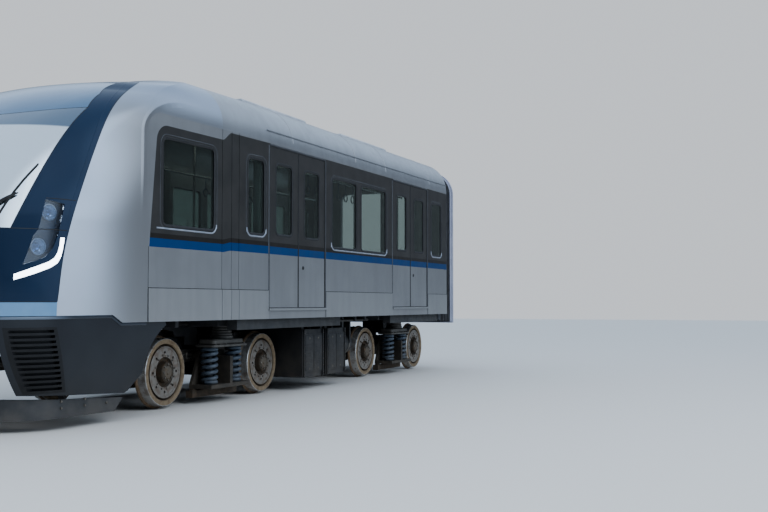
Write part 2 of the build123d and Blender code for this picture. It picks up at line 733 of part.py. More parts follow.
with BuildPart() as rear_drawbar:
    lengthwise(-440, 0, 0, COUPLER_Z + 130, 70)
    with BuildSketch(Plane.YZ.offset(ahead(-GANGWAY_REACH + 40))):
        with Locations((0, COUPLER_Z + 130)):
            RectangleRounded(280, 200, 40)
    extrude(amount=120)
save(rear_drawbar, "rear_drawbar")

# Underfloor equipment: ribbed cases at the sides, two air tanks between them
CASES = [(3720, 4360), (4420, 5050)]
with BuildPart() as underfloor_equipment:
    for side in (-1, 1):
        for u0, u1 in CASES:
            slab(u0, u1, side * 520, side * 1100, 170, 800)
            slab(u0 + 40, u1 - 40, side * 1092, side * 1108, 230, 740)
            for u in (u0 + 40, u1 - 40):
                slab(u - 30, u + 30, side * 560, side * 1080, 800, SKIRT_Z)
                slab(u - 12, u + 12, side * 1100, side * 1118, 170, 800)
        slab(4360, 4420, side * 700, side * 900, 400, 700)
        lengthwise(3150, 3620, side * 780, 560, 165)
        lengthwise(3110, 3150, side * 780, 560, 90)
        for u in (3240, 3530):
            slab(u - 20, u + 20, side * 780 - 175, side * 780 + 175, 560, SKIRT_Z)
    lengthwise(3500, 4850, -190, 560, 160)
    lengthwise(3500, 4850, 190, 560, 160)
    for u in (3700, 4650):
        slab(u - 25, u + 25, -360, 360, 560, SKIRT_Z)
    slab(4250 - 30, 4250 + 30, -378, 378, 640, 890)
save(underfloor_equipment, "underfloor_equipment")

# Saloon seats along the walls, with grab poles, and the front console
SEAT_BLOCKS = [(WALL_T, 850, 2), (2620, 4720, 8), (6420, 7150, 2)]


def seat_row(u0, u1, places):
    """Moulded seats along the left wall, with one beam under them."""
    back = HALF_WIDTH - WALL_T
    with BuildPart(mode=Mode.PRIVATE) as row:
        with BuildSketch(Plane.YZ.offset(ahead(u0))):
            with BuildLine():
                Polyline((790, 1440), (back, 1440), (back, 1900), (back - 50, 1900))
                ThreePointArc((back - 50, 1900), (back - 95, 1700), (back - 105, 1545))
                ThreePointArc((back - 105, 1545), (1000, 1505), (820, 1530))
                ThreePointArc((820, 1530), (778, 1490), (790, 1440))
            make_face()
        extrude(amount=u1 - u0)
        slab(u0 + 60, u1 - 60, 1100, back, 1300, 1440)
        for k in range(1, places):
            u = u0 + k * (u1 - u0) / places
            slab(u - 8, u + 8, 700, back - 25, 1480, 2000, mode=Mode.SUBTRACT)
        if u1 > TAPER_START:
            add(inner_front, mode=Mode.INTERSECT)
    return row.part


with BuildPart() as saloon_seats:
    for u0, u1, places in SEAT_BLOCKS:
        add(seat_row(u0, u1, places))
    mirror(about=Plane.XZ)
save(saloon_seats, "saloon_seats")

POLE_Y = 760
POLE_R = 18
RAIL_Z = 2950
POLES = [930, 2520, 4800, 6400]


def ceiling(y):
    """Height of the roof's inner face at a distance from the middle."""
    angle = math.radians(CROWN_DEG)
    cy = HALF_WIDTH - SHOULDER_R
    r = cy / math.cos(angle) + SHOULDER_R - WALL_T
    return SHOULDER_Z - cy * math.tan(angle) + math.sqrt(r * r - y * y)


with BuildPart() as grab_poles:
    for side in (-1, 1):
        for u in POLES:
            upright(u, side * POLE_Y, FLOOR_Z, ceiling(POLE_Y + POLE_R), POLE_R)
        lengthwise(POLES[0] - 200, POLES[-1] + 200, side * POLE_Y, RAIL_Z, POLE_R - 2)
save(grab_poles, "grab_poles")

CONSOLE_SIDE = [(9700, FLOOR_Z), (9760, 1650), (9900, 1780), (11000, 1780), (11000, FLOOR_Z)]
with BuildPart() as front_console:
    add(inner_front)
    add(side_prism(CONSOLE_SIDE, 0, -740, 740), mode=Mode.INTERSECT)
save(front_console, "front_console")


# Bogies: side view of one frame beam, from its middle to its front end
BEAM_TOP = [(0, 610), (480, 610), (760, 700), (1190, 700)]
HANGER = [(-TUBE_U - 70, 590), (TUBE_U + 70, 590), (SEAT_HALF, COIL_LOW), (SEAT_HALF, COIL_LOW - SEAT_T)]
HANGER = HANGER + [(-SEAT_HALF, COIL_LOW - SEAT_T), (-SEAT_HALF, COIL_LOW)]
BEAM_BOTTOM = [(1190, BOX_TOP), (880, BOX_TOP), (600, 470), (0, 470)]


def wheel_profile():
    """Half section of one wheel and its half axle, as distance from the middle and radius."""
    face = GAUGE_FACE
    outer = GAUGE_FACE + TYRE_W
    return [
        (0, 0), (0, AXLE_R), (face - 20, AXLE_R), (face - 20, HUB_R), (face + 30, HUB_R + 10), (face + 45, RIM_R - 20),
        (face, RIM_R), (face, FLANGE_R - 8), (face + 8, FLANGE_R), (face + FLANGE_T - 8, FLANGE_R - 6),
        (face + FLANGE_T, WHEEL_R + 3), (outer - 6, WHEEL_R - 4), (outer, WHEEL_R - 10), (outer, RIM_R),
        (face + 85, DISC_R + 8), (face + 85, DISC_R), (face + 118, DISC_R), (face + 118, DISC_INNER_R),
        (face + 85, DISC_INNER_R), (face + 90, HUB_R), (AXLE_END, HUB_R - 10), (AXLE_END, 0),
    ]


def wheelset(label, u):
    """Two wheels on one axle, turned about the axle's line."""
    with BuildPart() as pair:
        with BuildSketch(Plane.YZ.offset(ahead(u))) as section:
            with BuildLine():
                Polyline([(y, AXLE_Z + r) for y, r in wheel_profile()], close=True)
            make_face()
        axle = Axis((ahead(u), 0, AXLE_Z), (0, 1, 0))
        revolve(section.sketch, axis=axle)
        mirror(about=Plane.XZ)
        with Locations(Plane(origin=(ahead(u), 0, AXLE_Z), z_dir=(0, 1, 0))):
            with PolarLocations((HUB_R + DISC_INNER_R) / 2 + 72, 8):
                Cylinder(16, 2000, mode=Mode.SUBTRACT)
    save(pair, label)


def bogie_pieces(name, centre):
    """Frame, axle boxes, springs, motors and brakes of one bogie, and its two wheelsets."""
    axles = [centre + WHEELBASE / 2, centre - WHEELBASE / 2]
    with BuildPart() as bogie_frame:
        outline = BEAM_TOP + BEAM_BOTTOM
        back = [(-u, z) for u, z in reversed(outline)]
        points = [(centre + u, z) for u, z in outline[:-1] + back[1:]]
        beam = side_prism(points, 0, FRAME_Y - FRAME_W / 2, FRAME_Y + FRAME_W / 2)
        add(beam)
        add(mirror(beam, about=Plane.XZ, mode=Mode.PRIVATE))
        for end in (-1, 1):
            crossbar(centre + end * TUBE_U, TUBE_Z, -TUBE_HALF, TUBE_HALF, TUBE_R)
        for side in (-1, 1):
            low_y = min(side * 700, side * 735)
            add(side_prism([(centre + u, z) for u, z in HANGER], 0, low_y, low_y + 35))
            slab(centre - SEAT_HALF, centre + SEAT_HALF, side * 700, side * 1000, COIL_LOW - SEAT_T, COIL_LOW)
            slab(centre - 30, centre + 30, side * 700, side * 1000, COIL_LOW, TUBE_Z)
    save(bogie_frame, "bogie_frame_" + name)

    with BuildPart() as axle_boxes:
        for u in axles:
            for side in (-1, 1):
                crossbar(u, AXLE_Z, side * (FRAME_Y - BOX_W / 2), side * (FRAME_Y + BOX_W / 2), BOX_R)
                slab(u - BOX_R, u + BOX_R, side * (FRAME_Y - BOX_W / 2), side * (FRAME_Y + BOX_W / 2), AXLE_Z, BOX_TOP)
            crossbar(u, AXLE_Z, -800, 800, AXLE_R + RUN_GAP, mode=Mode.SUBTRACT)
    save(axle_boxes, "axle_boxes_" + name)

    with BuildPart() as springs:
        for side in (-1, 1):
            for end in (-1, 1):
                u = centre + end * SPRING_U
                coil_pitch = (COIL_HIGH - COIL_LOW) / COILS
                with BuildSketch(Plane.XZ.offset(-side * SPRING_Y)) as section:
                    with Locations((ahead(u) + (COIL_R - WIRE_R) / 2, (COIL_LOW + COIL_HIGH) / 2)):
                        Rectangle(COIL_R - WIRE_R, COIL_HIGH - COIL_LOW)
                    for k in range(COILS):
                        with Locations((ahead(u) + COIL_R - WIRE_R, COIL_LOW + (k + 0.5) * coil_pitch)):
                            Circle(WIRE_R)
                revolve(section.sketch, axis=Axis((ahead(u), side * SPRING_Y, 0), (0, 0, 1)))
            slab(centre - 380, centre + 380, side * 720, side * 1000, COIL_HIGH, PLATE_TOP)
            with Locations((ahead(centre), side * SPRING_Y, (PLATE_TOP + PAD_Z) / 2)):
                Cone(140, 100, PAD_Z - PLATE_TOP)
    save(springs, "secondary_springs_" + name)

    with BuildPart() as motors:
        for end in (-1, 1):
            u = centre + end * MOTOR_U
            crossbar(u, MOTOR_Z, -MOTOR_HALF, MOTOR_HALF, MOTOR_R - 15)
            for k in range(-4, 5):
                crossbar(u, MOTOR_Z, 66 * k - 16, 66 * k + 16, MOTOR_R)
            slab(centre + end * 200, centre + end * 320, -200, 200, 480, 580)
            crossbar(u, MOTOR_Z, end * MOTOR_HALF, end * GEAR_Y[0], 60)
            with BuildSketch(Plane.XZ.offset(-end * GEAR_Y[0])) as case:
                with Locations((ahead(u), MOTOR_Z)):
                    Circle(115)
                with Locations((ahead(centre + end * WHEELBASE / 2), AXLE_Z)):
                    Circle(165)
                make_hull()
            extrude(case.sketch, amount=-end * (GEAR_Y[1] - GEAR_Y[0]))
            crossbar(centre + end * WHEELBASE / 2, AXLE_Z, -600, 600, AXLE_R + RUN_GAP, mode=Mode.SUBTRACT)
            crossbar(centre + end * TUBE_U, TUBE_Z, -600, 600, TUBE_R, mode=Mode.SUBTRACT)
    save(motors, "traction_motors_" + name)

    with BuildPart() as brakes:
        for side in (-1, 1):
            slab(centre - 480, centre + 480, side * 690, side * 780, BRAKE_LOW, 150)
            for u in (-400, -130, 130, 400):
                slab(centre + u - 40, centre + u + 40, side * 710, side * 760, 150, COIL_LOW - SEAT_T)
    save(brakes, "track_brakes_" + name)

    for tag, u in zip(("a", "b"), axles):
        wheelset("wheelset_" + name + "_" + tag, u)


bogie_pieces("front", FRONT_BOGIE)
bogie_pieces("rear", REAR_BOGIE)
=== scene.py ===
# %% [markdown]
# # Front car of a light metro unit
#
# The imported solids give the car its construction: walls, doors, roof, front, bogies and gangway.
# This lesson gives it its looks. Every solid gets a finish made of shader nodes, and the small
# things that a maker adds last are modelled as surfaces worked out with numpy: window rubbers,
# sills, door seals, lamps, wipers, coil springs, pipes and bolts.
#
# All places are in metres in the frame of the solids: X runs forward to the nose, Y to the left
# side and Z up from the lowest wheel flange. A place along the car is first given as a distance
# ahead of the rear wall, the way a drawing of the car would give it.

# %% Load the frame of solids
import math

import bmesh
import bpy
import numpy as np
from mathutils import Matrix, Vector
from mathutils.bvhtree import BVHTree


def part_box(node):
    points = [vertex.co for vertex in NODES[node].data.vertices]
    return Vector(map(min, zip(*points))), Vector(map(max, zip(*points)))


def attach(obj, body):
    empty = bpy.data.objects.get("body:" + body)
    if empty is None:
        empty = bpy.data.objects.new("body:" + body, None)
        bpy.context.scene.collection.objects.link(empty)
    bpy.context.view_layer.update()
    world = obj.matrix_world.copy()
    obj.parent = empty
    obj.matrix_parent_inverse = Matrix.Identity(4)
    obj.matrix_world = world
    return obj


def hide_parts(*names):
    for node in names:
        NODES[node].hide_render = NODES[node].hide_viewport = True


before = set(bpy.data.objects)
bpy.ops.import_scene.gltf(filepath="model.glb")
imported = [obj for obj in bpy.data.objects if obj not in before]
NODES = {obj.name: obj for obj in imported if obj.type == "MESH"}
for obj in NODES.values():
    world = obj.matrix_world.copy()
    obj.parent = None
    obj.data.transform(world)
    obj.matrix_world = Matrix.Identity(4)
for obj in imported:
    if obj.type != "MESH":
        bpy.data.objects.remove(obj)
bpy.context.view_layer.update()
REAR_WALL_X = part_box("rear_end_wall")[0].x
HALF_WIDTH = 1.325
# the walls turn inwards this far ahead of the rear wall, by this angle
TAPER_START = 6.4
TAPER = math.radians(2.6)
# the roof's section: an arc at each shoulder and a wide arc between them
SHOULDER_Z = 3.11
SHOULDER_R = 0.5
SHOULDER_Y = HALF_WIDTH - SHOULDER_R
CROWN_Z = -0.190
CROWN_R = 3.901
CROWN_HALF = 0.946
print("nodes", len(NODES), "rear wall at", round(REAR_WALL_X, 3))


# %% [markdown]
# ## Places on the car
#
# The side walls are flat plates, and ahead of the taper they turn inwards by a few degrees.
# A window rubber or a door seal is easiest to draw in the plane of its wall, as distances along
# and up, and then to lift onto the wall. One function does that lifting for whole arrays of
# points, for both walls and for both sides of the car.

# %% Functions for places
def ahead(u):
    """X of a place u metres ahead of the rear wall."""
    return REAR_WALL_X + u


def half_at(u):
    """Half width of the body u metres ahead of the rear wall: it shrinks along the taper."""
    return HALF_WIDTH - np.maximum(0.0, np.asarray(u) - TAPER_START) * math.tan(TAPER)


def on_wall(along, out, up, side):
    """Points on a side wall: along is the distance ahead, out the distance in front of the
    outer face, up the height, and side 1 for left or -1 for right. Past the taper's start
    the outward direction turns by the taper angle."""
    along, out, up = np.broadcast_arrays(along, out, up)
    turn = np.where(along > TAPER_START, TAPER, 0.0)
    x = ahead(along) + out * np.sin(turn)
    y = half_at(along) + out * np.cos(turn)
    return np.stack([x, side * y, up], axis=-1)


print("half width", HALF_WIDTH, "at the rear,", round(float(half_at(8.6)), 3), "at the walls' front end")


# %% [markdown]
# ## A small kit for surfaces
#
# Each new piece is a grid of points, rows by columns, with a face between every four
# neighbours. Blender could build the same things with curve objects or by spinning profiles,
# but arrays keep the sizes exact and let one mesh hold a hundred like bolts. The class below
# collects grids into one mesh; a shape that is closed has its faces turned outwards at the end.

# %% Class that collects point grids into one piece
class Piece:
    """One mesh made of point grids."""

    def __init__(self, name):
        self.name, self.points, self.faces, self.count = name, [], [], 0

    def grid(self, points, ring=False):
        """Adds a rows x columns grid. Face (i, j) joins points (i, j), (i, j+1), (i+1, j+1) and
        (i+1, j), and each row closes on itself. With ring the last row joins the first;
        otherwise one flat face fills the first row and one the last."""
        rows, columns = points.shape[:2]
        index = np.arange(rows * columns).reshape(rows, columns) + self.count
        index = np.concatenate([index, index[:, :1]], axis=1)
        if ring:
            index = np.concatenate([index, index[:1]], axis=0)
        quads = np.stack([index[:-1, :-1], index[:-1, 1:], index[1:, 1:], index[1:, :-1]], axis=-1)
        self.points.append(points.reshape(-1, 3))
        self.faces.extend(quads.reshape(-1, 4).tolist())
        if not ring:
            self.faces.append(index[0, :columns][::-1].tolist())
            self.faces.append(index[-1, :columns].tolist())
        self.count += rows * columns

    def make(self, finish, slot, body="carbody", replaces=(), smooth=35):
        """Turns the grids into an object that rides on a body, with its faces outwards."""
        mesh = bpy.data.meshes.new(self.name)
        mesh.from_pydata(np.concatenate(self.points).tolist(), [], self.faces)
        work = bmesh.new()
        work.from_mesh(mesh)
        bmesh.ops.recalc_face_normals(work, faces=work.faces)
        work.to_mesh(mesh)
        work.free()
        mesh.shade_smooth()
        mesh.set_sharp_from_angle(angle=math.radians(smooth))
        mesh.materials.append(finish)
        made = bpy.data.objects.new(self.name, mesh)
        bpy.context.scene.collection.objects.link(made)
        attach(made, body)
        if replaces:
            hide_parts(*replaces)
        print(self.name, len(self.faces), "faces")


# %% Functions for round forms
UP = (0, 0, 1)
FORWARD = (1, 0, 0)
REARWARD = (-1, 0, 0)


def turned(profile, origin, axis, steps, across=None):
    """Surface of revolution: each profile row (distance along the axis, radius) becomes a circle
    origin + axis * distance + radius * (across * cos t + third * sin t). Without a vector of its
    own, across is X, or Y where the axis runs along X."""
    if across is None:
        across = (0, 1, 0) if axis[0] else (1, 0, 0)
    origin, axis, across = (np.asarray(v, float) for v in (origin, axis, across))
    third = np.cross(axis, across)
    t = np.linspace(0, 2 * np.pi, steps, endpoint=False)
    circle = np.outer(np.cos(t), across) + np.outer(np.sin(t), third)
    profile = np.asarray(profile, float)
    return origin + profile[:, 0, None, None] * axis + profile[:, 1, None, None] * circle


def tube(path, radius, steps, up=UP):
    """Tube along a path: at each point a circle stands square to the path's direction, its two
    arms being the cross products of the direction with the up vector and with each other."""
    path = np.asarray(path, float)
    direction = np.gradient(path, axis=0)
    direction /= np.linalg.norm(direction, axis=1, keepdims=True)
    arm = np.cross(direction, np.asarray(up, float))
    arm /= np.linalg.norm(arm, axis=1, keepdims=True)
    other = np.cross(arm, direction)
    t = np.linspace(0, 2 * np.pi, steps, endpoint=False)[None, :, None]
    return path[:, None, :] + radius * (arm[:, None, :] * np.cos(t) + other[:, None, :] * np.sin(t))


print("one circle of 8 points:", turned([(0, 1)], (0, 0, 0), UP, 8).shape)


# %% Functions for blocks and bands
def block(first, second, bevel, corner, steps=4):
    """Block between two opposite corners, in any order, with rounded upright edges and bevelled
    rims: four rings of one rounded rectangle, drawn in by the bevel at the bottom and the top."""
    low, high = np.sort([first, second], axis=0).astype(float)
    outline, outward = rounded_loop(low[0], high[0], low[1], high[1], corner, steps)
    rings = []
    for inset, z in ((bevel, low[2]), (0, low[2] + bevel), (0, high[2] - bevel), (bevel, high[2])):
        ring = outline - outward * inset
        rings.append(np.column_stack([ring, np.full(len(ring), z)]))
    return np.stack(rings)


def rounded_loop(a0, a1, b0, b1, radius, steps):
    """Rounded rectangle as points and outward directions: each corner is a quarter circle
    about a centre that lies one radius inside both edges."""
    radius = min(radius, 0.499 * (a1 - a0), 0.499 * (b1 - b0))
    t = np.linspace(0, np.pi / 2, steps + 1)
    centres = np.array([(a1 - radius, b1 - radius), (a0 + radius, b1 - radius),
                        (a0 + radius, b0 + radius), (a1 - radius, b0 + radius)])
    angle = np.concatenate([t + k * np.pi / 2 for k in range(4)])
    outward = np.column_stack([np.cos(angle), np.sin(angle)])
    return np.repeat(centres, steps + 1, axis=0) + radius * outward, outward


def wall_band(loop, outward, section, side):
    """Bead carried along a loop on a side wall: every section row (distance outwards from the
    loop, distance in front of the wall) is added to every point of the loop."""
    loop, outward, section = (np.asarray(v, float)[..., None] for v in (loop, outward, section))
    flat = loop + outward * section[:, 0].T
    return on_wall(flat[:, 0], section[:, 1].T, flat[:, 1], side)


def cross_band(loop, outward, x, section):
    """Bead carried along a loop in the car's cross-section: every section row (distance ahead of
    x, distance outwards from the loop) is added to every point of the loop."""
    loop, outward, section = (np.asarray(v, float)[..., None] for v in (loop, outward, section))
    flat = loop + outward * section[:, 1].T
    return np.stack([np.broadcast_to(x + section[:, 0].T, flat[:, 0].shape), flat[:, 0], flat[:, 1]], axis=-1)


print("surface kit ready")


# %% [markdown]
# ## A kit for finishes
#
# A finish is a small network of shader nodes. Placing every node by hand hides the idea behind
# wiring, so the class below gives short calls for sums, masks, mixes and noise. Anything that
# several finishes share, such as road dust or the waviness of sheet metal, is a node group that
# is built once and then placed with its own values.

# %% Class that wires shader nodes
class Wiring:
    """Short calls that add and join nodes in one tree."""

    def __init__(self, tree):
        self.tree = tree

    def add(self, kind, **settings):
        """New node of a kind, with its settings."""
        node = self.tree.nodes.new(kind)
        for name, value in settings.items():
            setattr(node, name, value)
        return node

    def feed(self, socket, value):
        """Joins a socket to another, or sets its plain value. Colours are given without alpha."""
        if isinstance(value, bpy.types.NodeSocket):
            self.tree.links.new(value, socket)
        else:
            socket.default_value = (*value, 1) if socket.type == "RGBA" else value

    def maths(self, operation, *values):
        """One sum of up to three values."""
        node = self.add("ShaderNodeMath", operation=operation)
        for socket, value in zip(node.inputs, values):
            self.feed(socket, value)
        return node.outputs[0]

    def length(self, a, b):
        """Length of a line with the sides a and b: the square root of a a + b b."""
        return self.maths("SQRT", self.maths("MULTIPLY_ADD", a, a, self.maths("MULTIPLY", b, b)))

    def ramp(self, value, low, high, start=0.0, end=1.0):
        """Value turned from low..high to start..end, eased at both ends and held outside."""
        node = self.add("ShaderNodeMapRange", interpolation_type="SMOOTHSTEP")
        for socket, number in zip(node.inputs, (value, low, high, start, end)):
            self.feed(socket, number)
        return node.outputs[0]

    def blend(self, share, first, second):
        """Colour between two colours."""
        node = self.add("ShaderNodeMix", data_type="RGBA")
        for socket, value in zip((node.inputs[0], node.inputs[6], node.inputs[7]), (share, first, second)):
            self.feed(socket, value)
        return node.outputs[2]

    def place(self):
        """X, Y and Z of the point in the car's own frame."""
        where = self.add("ShaderNodeTexCoord").outputs["Object"]
        parts = self.add("ShaderNodeSeparateXYZ")
        self.feed(parts.inputs[0], where)
        return where, parts.outputs[0], parts.outputs[1], parts.outputs[2]

    def noise(self, scale, stretch=(1, 1, 1), detail=3.0):
        """Cloudy pattern between 0 and 1, stretched along an axis by a small factor there."""
        mapping = self.add("ShaderNodeMapping")
        self.feed(mapping.inputs[0], self.add("ShaderNodeTexCoord").outputs["Object"])
        mapping.inputs["Scale"].default_value = stretch
        node = self.add("ShaderNodeTexNoise")
        self.feed(node.inputs["Vector"], mapping.outputs[0])
        self.feed(node.inputs["Scale"], scale)
        self.feed(node.inputs["Detail"], detail)
        return node.outputs[0]

    def clouds(self, first, second, scale, low=0.3, high=0.7, detail=3.0):
        """Colour that drifts between two colours in clouds."""
        return self.blend(self.ramp(self.noise(scale, detail=detail), low, high), first, second)

    def relief(self, height, distance, strength, normal=None):
        """Normal bent by a height, on top of another normal."""
        node = self.add("ShaderNodeBump")
        for label, value in (("Height", height), ("Distance", distance), ("Strength", strength)):
            self.feed(node.inputs[label], value)
        if normal:
            self.feed(node.inputs["Normal"], normal)
        return node.outputs[0]

    def use(self, group, *values):
        """Places a shared group, feeds its inputs in order and returns its outputs."""
        node = self.add("ShaderNodeGroup", node_tree=group)
        for socket, value in zip(node.inputs, values):
            self.feed(socket, value)
        return node.outputs


def group(name, takes, gives):
    """Empty shared group with named inputs and outputs, given as (name, kind) pairs."""
    tree = bpy.data.node_groups.new(name, "ShaderNodeTree")
    for direction, sockets in (("INPUT", takes), ("OUTPUT", gives)):
        for label, kind in sockets:
            tree.interface.new_socket(label, in_out=direction, socket_type="NodeSocket" + kind)
    net = Wiring(tree)
    return net, net.add("NodeGroupInput").outputs, net.add("NodeGroupOutput").inputs


print("wiring kit ready")


# %% [markdown]
# ## Shared effects
#
# Three effects turn up all over the car. Road dust lies thickest near the ground and fades with
# height, in patches. Sheet metal and gloss paint are never quite flat, and the slow waves show in
# what they reflect. Every painted surface also varies a little in shade, in upright streaks that
# rain leaves. Each effect becomes a group, so that one change reaches every material.

# %% Groups for dust, waves and streaks
net, given, out = group("road_dust", [("Colour", "Color"), ("Roughness", "Float"), ("Amount", "Float"),
                                      ("Top", "Float")], [("Colour", "Color"), ("Roughness", "Float")])
low = net.ramp(net.place()[3], 0.0, given["Top"], 1.0, 0.0)
patches = net.ramp(net.noise(5.0, detail=6.0), 0.3, 0.7, 0.35, 1.0)
mask = net.maths("MULTIPLY", net.maths("MULTIPLY", low, patches), given["Amount"])
net.feed(out[0], net.blend(mask, given["Colour"], (0.13, 0.108, 0.080)))
net.feed(out[1], net.maths("ADD", given["Roughness"], net.maths("MULTIPLY", mask, 0.4)))
ROAD_DUST = net.tree

net, given, out = group("metal_waves", [("Slow", "Float"), ("Fine", "Float")], [("Normal", "Vector")])
waves = net.relief(net.noise(1.6, detail=1.0), 0.02, given["Slow"])
net.feed(out[0], net.relief(net.noise(180.0, detail=2.0), 0.002, given["Fine"], waves))
METAL_WAVES = net.tree

net, given, out = group("rain_streaks", [("Colour", "Color"), ("Amount", "Float")], [("Colour", "Color")])
streaks = net.ramp(net.noise(7.0, (1, 1, 0.12), 5.0), 0.35, 0.7)
mask = net.maths("MULTIPLY", streaks, given["Amount"])
net.feed(out[0], net.blend(mask, given["Colour"], (0.10, 0.095, 0.085)))
RAIN_STREAKS = net.tree
print("groups", len(bpy.data.node_groups))


# %% Function that makes a finish
def finish(name, colour, roughness, dust=(0.0, 1.0), waves=(0.0, 0.1), streaks=0.0, shades=0.0,
           form=None, **plain):
    """Material with a Principled shader. colour is a plain colour or a function that wires one,
    dust is (amount, height it reaches), waves is (slow, fine), shades is how far noise may
    lighten or darken the roughness, form is a function that wires a relief in metres, and plain
    gives other sockets of the shader."""
    made = bpy.data.materials.new(name)
    made.use_nodes = True
    net = Wiring(made.node_tree)
    shader = made.node_tree.nodes["Principled BSDF"]
    for socket, value in plain.items():
        net.feed(shader.inputs[socket.replace("_", " ")], value)
    tint = colour(net) if callable(colour) else colour
    if streaks:
        tint = net.use(RAIN_STREAKS, tint, streaks)[0]
    if shades:
        cloud = net.noise(11.0, detail=4.0)
        roughness = net.ramp(cloud, 0.25, 0.75, roughness - shades, roughness + shades)
    if dust[0]:
        tint, roughness = net.use(ROAD_DUST, tint, roughness, *dust)[:2]
    net.feed(shader.inputs["Base Color"], tint)
    net.feed(shader.inputs["Roughness"], roughness)
    normal = net.use(METAL_WAVES, *waves)[0]
    if form:
        normal = net.relief(form(net), 1.0, 1.0, normal)
    net.feed(shader.inputs["Normal"], normal)
    return made


def two_tones(first, second, scale):
    """Function that wires a colour drifting between two colours in clouds."""
    return lambda net: net.clouds(first, second, scale, 0.35, 0.65, 5.0)


print("finish kit ready")


# %% [markdown]
# ## Livery on walls and doors
#
# The silver walls carry a charcoal band round the windows and a narrow blue stripe under it. On
# the real car these are films and paint on flat panels, so their edges are sharp and keep to
# fixed heights. Separate meshes laid on the walls would need cutting round every window, so the
# band is a mask in the material: a point is charcoal where it lies inside a rectangle in X and Z
# whose front upper corner is rounded. The distance from the wall's face decides the rest: skirt
# panels stand in front of it, sealant lies in the joints and pale lining behind.

# %% Values of the livery
# lower and upper edge of the stripe, and top of the band, behind and ahead of a step
STRIPE_REAR = (1.734, 1.827)
STRIPE_FRONT = (1.712, 1.802)
BAND_TOP_REAR = 3.063
BAND_TOP_FRONT = 2.964
STEP_FROM = 7.15
STEP_TO = 7.335
# front end of the band, how far it leans back in each metre of height, corner radius, dark edge
BAND_FRONT = 8.591
BAND_LEAN = 0.095
BAND_CORNER = 0.16
DARK_EDGE = 0.05
SILVER = (0.372, 0.405, 0.455)
SILVER_PALE = (0.402, 0.437, 0.490)
# painted shade: the walls' silver is a darker copy of the mask's SILVER, for the shade on the flank
SHADED_WALL_SILVER = (0.275, 0.280, 0.288)
SHADED_WALL_SILVER_PALE = (0.305, 0.310, 0.317)
SKIRT_SILVER = (0.325, 0.330, 0.335)
# painted sky reflection: a darker, bluer silver that the mask's crown fades to
CROWN_PAINTED_SKY = (0.245, 0.290, 0.360)
ROOF_SILVER = (0.285, 0.298, 0.318)
ROOF_SILVER_PALE = (0.318, 0.332, 0.352)
SILVER_METAL = 0.65
CHARCOAL = (0.064, 0.062, 0.060)
CHARCOAL_PALE = (0.078, 0.075, 0.072)
STRIPE_BLUE = (0.005, 0.070, 0.225)
UNDER_BAND = (0.034, 0.030, 0.027)
LINING = (0.50, 0.51, 0.52)
SEALANT = (0.012, 0.012, 0.013)
# depths behind the wall's face: the joints' floor lies between the first two, lining past the last
JOINT_DEPTHS = (0.0065, 0.0095)
LINING_DEPTH = 0.035


def from_middle(net, x, y):
    """Distance from the car's middle, plus what the taper takes off its half width at x."""
    past = net.maths("MAXIMUM", net.maths("SUBTRACT", x, ahead(TAPER_START)), 0.0)
    return net.maths("MULTIPLY_ADD", past, math.tan(TAPER), net.maths("ABSOLUTE", y))


def inside_body(net, x, y, depth):
    """1 where a point lies more than depth behind the outer face of the side walls."""
    return net.maths("LESS_THAN", from_middle(net, x, y), HALF_WIDTH - depth)


def livery(net):
    """Silver, band, stripe and lining from the place of the point."""
    _, x, y, z = net.place()
    step = net.ramp(x, ahead(STEP_TO), ahead(STEP_FROM))
    lift = net.maths("MULTIPLY", step, BAND_TOP_REAR - BAND_TOP_FRONT)
    top = net.maths("ADD", BAND_TOP_FRONT, lift)
    low = net.maths("MULTIPLY_ADD", step, STRIPE_REAR[0] - STRIPE_FRONT[0], STRIPE_FRONT[0])
    high = net.maths("MULTIPLY_ADD", step, STRIPE_REAR[1] - STRIPE_FRONT[1], STRIPE_FRONT[1])
    lean = net.maths("MULTIPLY", net.maths("SUBTRACT", z, STRIPE_FRONT[1]), BAND_LEAN)
    past_front = net.maths("ADD", net.maths("SUBTRACT", x, ahead(BAND_FRONT)), lean)
    past_top = net.maths("SUBTRACT", z, top)
    a = net.maths("MAXIMUM", net.maths("ADD", past_front, BAND_CORNER), 0.0)
    b = net.maths("MAXIMUM", net.maths("ADD", past_top, BAND_CORNER), 0.0)
    in_front = net.maths("LESS_THAN", net.length(a, b), BAND_CORNER)
    above_low = net.maths("GREATER_THAN", z, low)
    above_high = net.maths("GREATER_THAN", z, high)
    band = net.maths("MULTIPLY", in_front, above_high)
    stripe = net.maths("MULTIPLY", in_front, net.maths("SUBTRACT", above_low, above_high))
    at_edge = net.maths("LESS_THAN", z, net.maths("ADD", high, DARK_EDGE))
    film = net.blend(at_edge, net.clouds(CHARCOAL, CHARCOAL_PALE, 3.0, 0.35, 0.65), UNDER_BAND)
    # the skirt panels and the door sills stand in front of the wall
    behind = inside_body(net, x, y, -0.005)
    # the walls' silver is darker than the mask's: painted shade on the flank
    paint = net.blend(behind, SKIRT_SILVER, net.clouds(SHADED_WALL_SILVER, SHADED_WALL_SILVER_PALE, 1.2))
    paint = net.blend(stripe, net.blend(band, paint, film), STRIPE_BLUE)
    shallow, deep = (inside_body(net, x, y, depth) for depth in JOINT_DEPTHS)
    paint = net.blend(net.maths("SUBTRACT", shallow, deep), paint, SEALANT)
    return net.blend(inside_body(net, x, y, LINING_DEPTH), paint, LINING)


WALL_PAINT = finish("wall_paint", livery, 0.34, dust=(0.25, 1.4), waves=(0.06, 0.02), streaks=0.08,
                    shades=0.03, Metallic=SILVER_METAL, Coat_Weight=0.25, Coat_Roughness=0.08)
DOOR_PAINT = finish("door_paint", livery, 0.36, dust=(0.22, 1.4), waves=(0.05, 0.02), streaks=0.11,
                    shades=0.04, Metallic=SILVER_METAL, Coat_Weight=0.2, Coat_Roughness=0.1)
print("livery ready")


